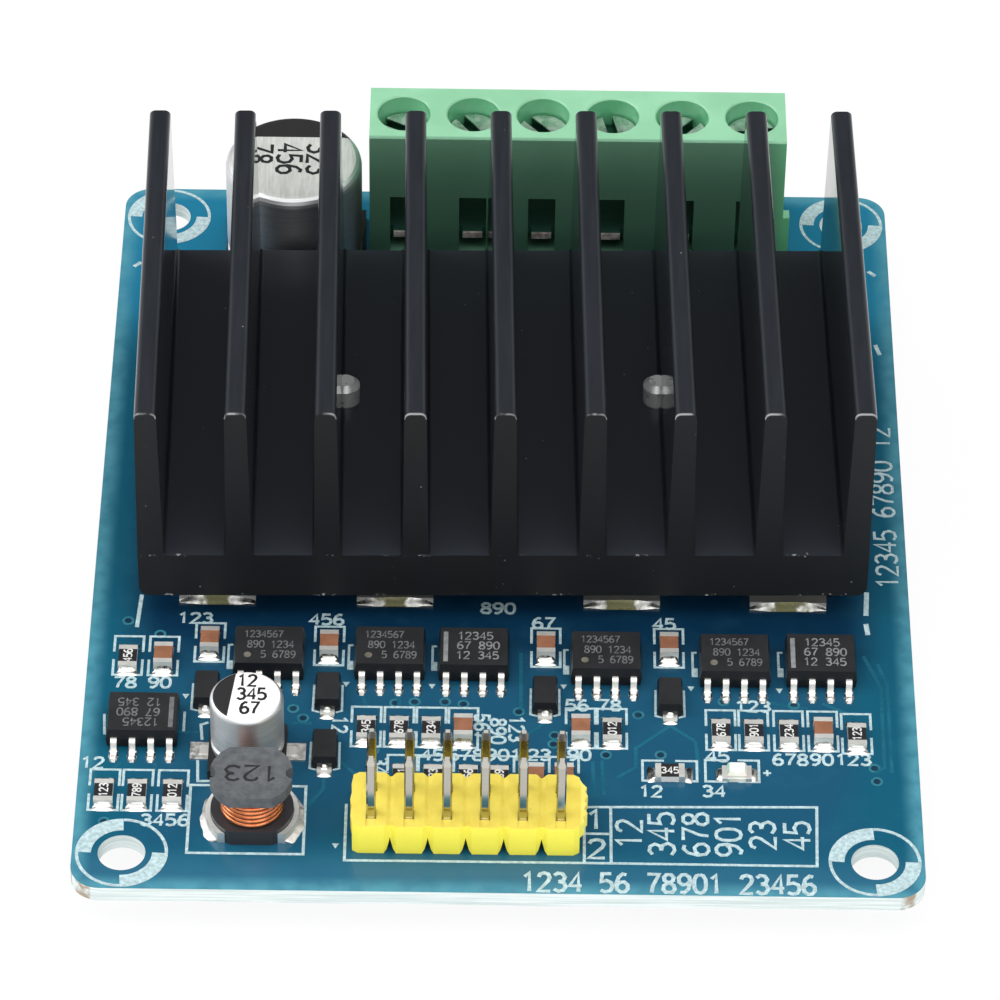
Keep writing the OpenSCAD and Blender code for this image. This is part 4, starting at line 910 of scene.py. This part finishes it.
# Crescents of solder round the inductor's foot
for side in (-1, 1):
    cx, cy = -16.6, -29.45
    inner, outer = [], []
    for i in range(25):
        a = math.radians(-64 + 128 * i / 24)
        wob = 0.05 * math.sin(i * 0.8 + side) + 0.02 * math.sin(i * 1.7)
        inner.append((cx + side * 2.35 * math.cos(a), cy + 2.35 * math.sin(a)))
        outer.append((cx + side * (3.5 + wob) * math.cos(a * 0.9) ** 0.42 if math.cos(a) > 0 else cx,
                      cy + (2.5 + wob) * math.sin(a)))
    rows = []
    for (xi, yi), (xo, yo) in zip(inner, outer):
        row = []
        for k in range(7):
            t = k / 6
            x, y = xi + (xo - xi) * t, yi + (yo - yi) * t
            h = 0.95 * (1 - t) ** 2.2 + 0.16 * (1 - t ** 6) + 0.015 * math.sin(9 * t + yi * 3)
            row.append((x, y, TOP + max(0.02, h) if k < 6 else TOP + 0.02))
        low = [(p[0], p[1], TOP - 0.01) for p in reversed(row)]
        rows.append(row + low)
    if side < 0:
        rows = [list(reversed(r)) for r in rows]
    pad.grid(rows)
DULL = metal("dull_solder", (0.52, 0.51, 0.49), (0.8, 0.79, 0.76), 0.5, 2.2, 0.02).mat
pad.make("pad_solder", DULL, smooth=True)

# Soldered tails under the board
for node, plate in (("header_pins", 1.7), ("terminal_contacts", 2.3)):
    for lo, hi in islands(node):
        if node == "header_pins":
            x, y, half, tip = (lo.x + hi.x) / 2, (lo.y + hi.y) / 2, 0.34, lo.z
        else:
            x, y, half, tip = (lo.x + hi.x) / 2, hi.y - 0.35, 0.52, lo.z
        rows = []
        for k in range(8):
            t = k / 7
            r = half + (plate / 2 - half) * (1 - t) ** 2.4
            z = -0.02 - (abs(tip) - 0.35) * t
            rows.append([(x + r * math.cos(a * math.pi / 10), y + r * math.sin(a * math.pi / 10), z)
                         for a in range(20)])
        rows.insert(0, [(p[0], p[1], 0.01) for p in rows[0]])
        joint.grid([list(reversed(r)) for r in rows])
joint.make("solder_joints", SOLDER, smooth=True)

# Solder and flux in front of the power tabs
FLUXED = flux_paint()
for i in range(1, 9):
    lo, hi = box_mm(f"transistor_{i}_leadframe")
    lo_b, hi_b = box_mm(f"transistor_{i}_body")
    front = i <= 4
    tab = Shape()
    x, y = (lo.x + hi.x) / 2, (lo.y if front else hi.y)
    if front:
        solder(tab, x, y + 0.02, 270, 0.45, hi.x - lo.x, 0.42, 0.12, 1.0, bulge=0.05)
    else:
        solder(tab, x, y - 0.02, 90, 0.45, hi.x - lo.x, 0.42, 0.12, 1.0, bulge=0.05)
    tab.make(f"tab_solder_{i}", FLUXED, smooth=True)


# Marks on the packages, all plain numbers

marks = Shape()
bright_marks = Shape()


def package_marks(name, kind):
    lo, hi = box_mm(name)
    x, y = (lo.x + hi.x) / 2, (lo.y + hi.y) / 2
    z = hi.z
    if kind == "driver":
        number(marks, "1234567", x - 0.4, y + 1.05, 0.62, 0.39, z=z, stroke=0.085, thick=0.006)
        number(marks, "890 1234", x + 0.1, y + 0.05, 0.66, 0.41, z=z, stroke=0.085, thick=0.006)
        number(marks, "5 6789", x + 0.65, y - 0.93, 0.66, 0.41, z=z, stroke=0.085, thick=0.006)
    else:
        flip = -1 if kind == "turned" else 1
        turn = 180 if kind == "turned" else 0
        bar = bright_marks if flip > 0 else marks
        bx = x - flip * 1.95
        bar.prism([(bx - 0.16, y - 1.5), (bx + 0.16, y - 1.5), (bx + 0.16, y + 1.4),
                   (bx - 0.16, y + 1.4)], z, z + 0.006)
        shape = bright_marks if flip > 0 else marks
        for string, dx, dy in (("12345", 0.1, 1.02), ("67 890", 0.3, 0.08), ("12 345", 0.25, -0.88)):
            number(shape, string, x + flip * dx, y + flip * dy, 0.7, 0.5, turn, z=z, stroke=0.1,
                   thick=0.006)


for i in range(1, 5):
    package_marks(f"gate_driver_{i}_body", "driver")
package_marks("comparator_1_body", "comparator")
package_marks("comparator_2_body", "comparator")
package_marks("regulator_body", "turned")
marks.make("package_numbers_dim", print_paint("laser_mark_dim", (0.15, 0.155, 0.16), 0.6))
bright_marks.make("package_numbers", print_paint("laser_mark", (0.24, 0.25, 0.25), 0.6))

# Pin-1 spots of the drivers
spots = Shape()
plugs = Shape()
for i in range(1, 5):
    lo, hi = box_mm(f"gate_driver_{i}_body")
    x, y = lo.x + 0.98, (lo.y + hi.y) / 2 - 0.98
    spots.prism([(x + 0.26 * math.cos(a), y + 0.27 * math.sin(a))
                 for a in [math.pi * k / 9 for k in range(18)]], hi.z - 0.02, hi.z + 0.006)
    x, y = lo.x + 0.62, (lo.y + hi.y) / 2 - 1.33
    plugs.prism(arc_points(x, y, 0.31, 0, 340, 17), hi.z - 0.08, hi.z + 0.002)
plugs.make("dimple_fill", FINISH["package_black"])
spots.make("pin_one_spots", print_paint("moulded_spot", (0.16, 0.15, 0.12), 0.6))

# Numbers on the resistors and on the cans, number on the inductor
value = Shape()
VALUES = ["123", "456", "789", "012", "345", "678", "901", "234"]
for k, (centre, size, across) in enumerate(RESISTORS):
    z = centre.z + size.z / 2
    number(value, VALUES[k % len(VALUES)], centre.x, centre.y, 0.56, 0.42, 0 if across else 90, z=z,
           stroke=0.1, thick=0.006)
value.make("resistor_numbers", print_paint("glaze_print", (0.72, 0.72, 0.7), 0.7))


def can_top(name, lines, turn, height, advance, stroke):
    """Lines of plain numbers on the top of a can."""
    lo, hi = box_mm(name)
    x, y, z = (lo.x + hi.x) / 2, (lo.y + hi.y) / 2, hi.z
    shape = Shape()
    for string, dx, dy in lines:
        number(shape, string, x + dx, y + dy, height, advance, turn, z=z, stroke=stroke, thick=0.01)
    shape.make(name + "_print", print_paint(name + "_ink", (0.012, 0.012, 0.014), 0.8))


can_top("small_capacitor_can",
        (("12", 0.0, 1.5), ("345", 0.34, 0.22), ("67", 0.25, -1.1)), 0, 1.05, 0.7, 0.19)
can_top("bulk_capacitor_can",
        (("323", 1.87, -0.1), ("456", -0.33, -0.1), ("78", -2.5, 0.45)), 270, 1.75, 1.2, 0.26)

core_mark = Shape()
lo, hi = box_mm("inductor_core")
number(core_mark, "123", (lo.x + hi.x) / 2, (lo.y + hi.y) / 2 - 0.05, 1.35, 1.25, 180, z=hi.z,
       stroke=0.2, thick=0.008)
core_mark.make("inductor_number", print_paint("core_ink", (0.018, 0.018, 0.02), 0.8))


# Threads on the tips of the heatsink screws

def thread(shape, x, y, low, high, pitch, root, crest):
    turns = (high - low) / pitch
    steps = int(turns * 24)
    rows = []
    for i in range(steps + 1):
        a = 2 * math.pi * i / 24
        z = low + pitch * i / 24
        fade = min(1.0, i / 8, (steps - i) / 8)
        c, s = math.cos(a), math.sin(a)
        out = root + (crest - root) * fade
        rows.append([(x + root * c, y + root * s, z - 0.16), (x + out * c, y + out * s, z),
                     (x + root * c, y + root * s, z + 0.16)])
    shape.grid(rows)


threads = Shape()
for lo, hi in islands("heatsink_screws"):
    x, y = (lo.x + hi.x) / 2, (lo.y + hi.y) / 2
    thread(threads, x, y, 6.6, hi.z - 0.35, 0.4, 0.84, 1.0)
threads.make("screw_threads", FINISH["screw_steel"], smooth=True)


# Floor, light and camera

def stage_floor():
    mesh = bpy.data.meshes.new("floor")
    h, z = 3.0, CAD_BOX[0][2]
    mesh.from_pydata([(-h, -h, z), (h, -h, z), (h, h, z), (-h, h, z)], [], [(0, 1, 2, 3)])
    floor = bpy.data.objects.new("floor", mesh)
    bpy.context.scene.collection.objects.link(floor)
    mat = bpy.data.materials.new("floor_white")
    mat.use_nodes = True
    nodes, links = mat.node_tree.nodes, mat.node_tree.links
    plain = nodes["Principled BSDF"]
    plain.inputs["Base Color"].default_value = (0.86, 0.86, 0.86, 1)
    plain.inputs["Roughness"].default_value = 0.9
    glow = nodes.new("ShaderNodeEmission")
    glow.inputs["Color"].default_value = (1, 1, 1, 1)
    path = nodes.new("ShaderNodeLightPath")
    direct = nodes.new("ShaderNodeMath")
    direct.operation = "MULTIPLY"
    direct.inputs[1].default_value = 0.93
    links.new(path.outputs["Is Camera Ray"], direct.inputs[0])
    seen = nodes.new("ShaderNodeMath")
    seen.operation = "MAXIMUM"
    part = nodes.new("ShaderNodeMath")
    part.operation = "MULTIPLY"
    part.inputs[1].default_value = 0.6
    links.new(path.outputs["Is Glossy Ray"], part.inputs[0])
    mix = nodes.new("ShaderNodeMixShader")
    links.new(direct.outputs[0], seen.inputs[0])
    links.new(part.outputs[0], seen.inputs[1])
    links.new(seen.outputs[0], mix.inputs[0])
    links.new(plain.outputs[0], mix.inputs[1])
    links.new(glow.outputs[0], mix.inputs[2])
    links.new(mix.outputs[0], nodes["Material Output"].inputs["Surface"])
    mesh.materials.append(mat)


def sky():
    """White for the camera; for the object a soft tent with a dark patch high at the back."""
    world = bpy.data.worlds.new("tent")
    bpy.context.scene.world = world
    world.use_nodes = True
    nodes, links = world.node_tree.nodes, world.node_tree.links
    back = nodes["Background"]

    def ranged(socket, low, high, to_low, to_high):
        node = nodes.new("ShaderNodeMapRange")
        node.interpolation_type = "SMOOTHSTEP"
        links.new(socket, node.inputs["Value"])
        for key, value in (("From Min", low), ("From Max", high), ("To Min", to_low),
                           ("To Max", to_high)):
            node.inputs[key].default_value = value
        return node.outputs[0]

    where = nodes.new("ShaderNodeTexCoord")
    split = nodes.new("ShaderNodeSeparateXYZ")
    links.new(where.outputs["Generated"], split.inputs[0])
    rise = ranged(split.outputs[2], 0.05, 0.85, 0.45, 1.15)
    toward = nodes.new("ShaderNodeVectorMath")
    toward.operation = "DOT_PRODUCT"
    links.new(where.outputs["Generated"], toward.inputs[0])
    toward.inputs[1].default_value = (0.0, 0.78, 0.626)
    patch = ranged(toward.outputs["Value"], 0.72, 0.93, 1.0, 0.08)
    tent = nodes.new("ShaderNodeMath")
    tent.operation = "MULTIPLY"
    links.new(rise, tent.inputs[0])
    links.new(patch, tent.inputs[1])
    path = nodes.new("ShaderNodeLightPath")
    mix = nodes.new("ShaderNodeMix")
    mix.data_type = "FLOAT"
    links.new(path.outputs["Is Camera Ray"], mix.inputs["Factor"])
    links.new(tent.outputs[0], mix.inputs["A"])
    mix.inputs["B"].default_value = 1.0
    links.new(mix.outputs["Result"], back.inputs["Strength"])
    back.inputs["Color"].default_value = (1, 1, 1, 1)


def lamp(name, at, aim, size, power):
    data = bpy.data.lights.new(name, "AREA")
    data.shape = "RECTANGLE"
    data.size, data.size_y = size
    data.energy = power
    light = bpy.data.objects.new(name, data)
    bpy.context.scene.collection.objects.link(light)
    light.location = at
    light.rotation_euler = (Vector(aim) - Vector(at)).to_track_quat("-Z", "Y").to_euler()


def camera():
    """The photograph's view, from its measured tilt, turn, roll and distance."""
    tilt, turn, roll = math.radians(43.303), math.radians(-0.133), math.radians(0.830)
    back = Vector((math.sin(turn) * math.cos(tilt), -math.cos(turn) * math.cos(tilt), math.sin(tilt)))
    right = (-back).cross(Vector((0, 0, 1))).normalized()
    up = right.cross(-back)
    across = right * math.cos(roll) + up * math.sin(roll)
    upward = up * math.cos(roll) - right * math.sin(roll)
    data = bpy.data.cameras.new("camera")
    data.sensor_width = 36
    data.lens = 208.81
    data.clip_start = 0.01
    eye = bpy.data.objects.new("camera", data)
    bpy.context.scene.collection.objects.link(eye)
    turnm = Matrix((across, upward, back)).transposed().to_4x4()
    eye.matrix_world = Matrix.Translation(Vector((-0.151, 3.443, 0)) * MM + back * 0.415806) @ turnm
    bpy.context.scene.camera = eye


stage_floor()
sky()
lamp("overhead", (0.0, -0.05, 0.55), (0, 0, 0), (0.8, 0.55), 2.2)
lamp("left_box", (-0.42, 0.05, 0.3), (0, 0, 0), (0.4, 0.35), 1.2)
lamp("front_box", (0.1, -0.5, 0.22), (0, 0, 0), (0.6, 0.25), 0.8)
camera()
scene = bpy.context.scene
scene.view_settings.view_transform = "Standard"
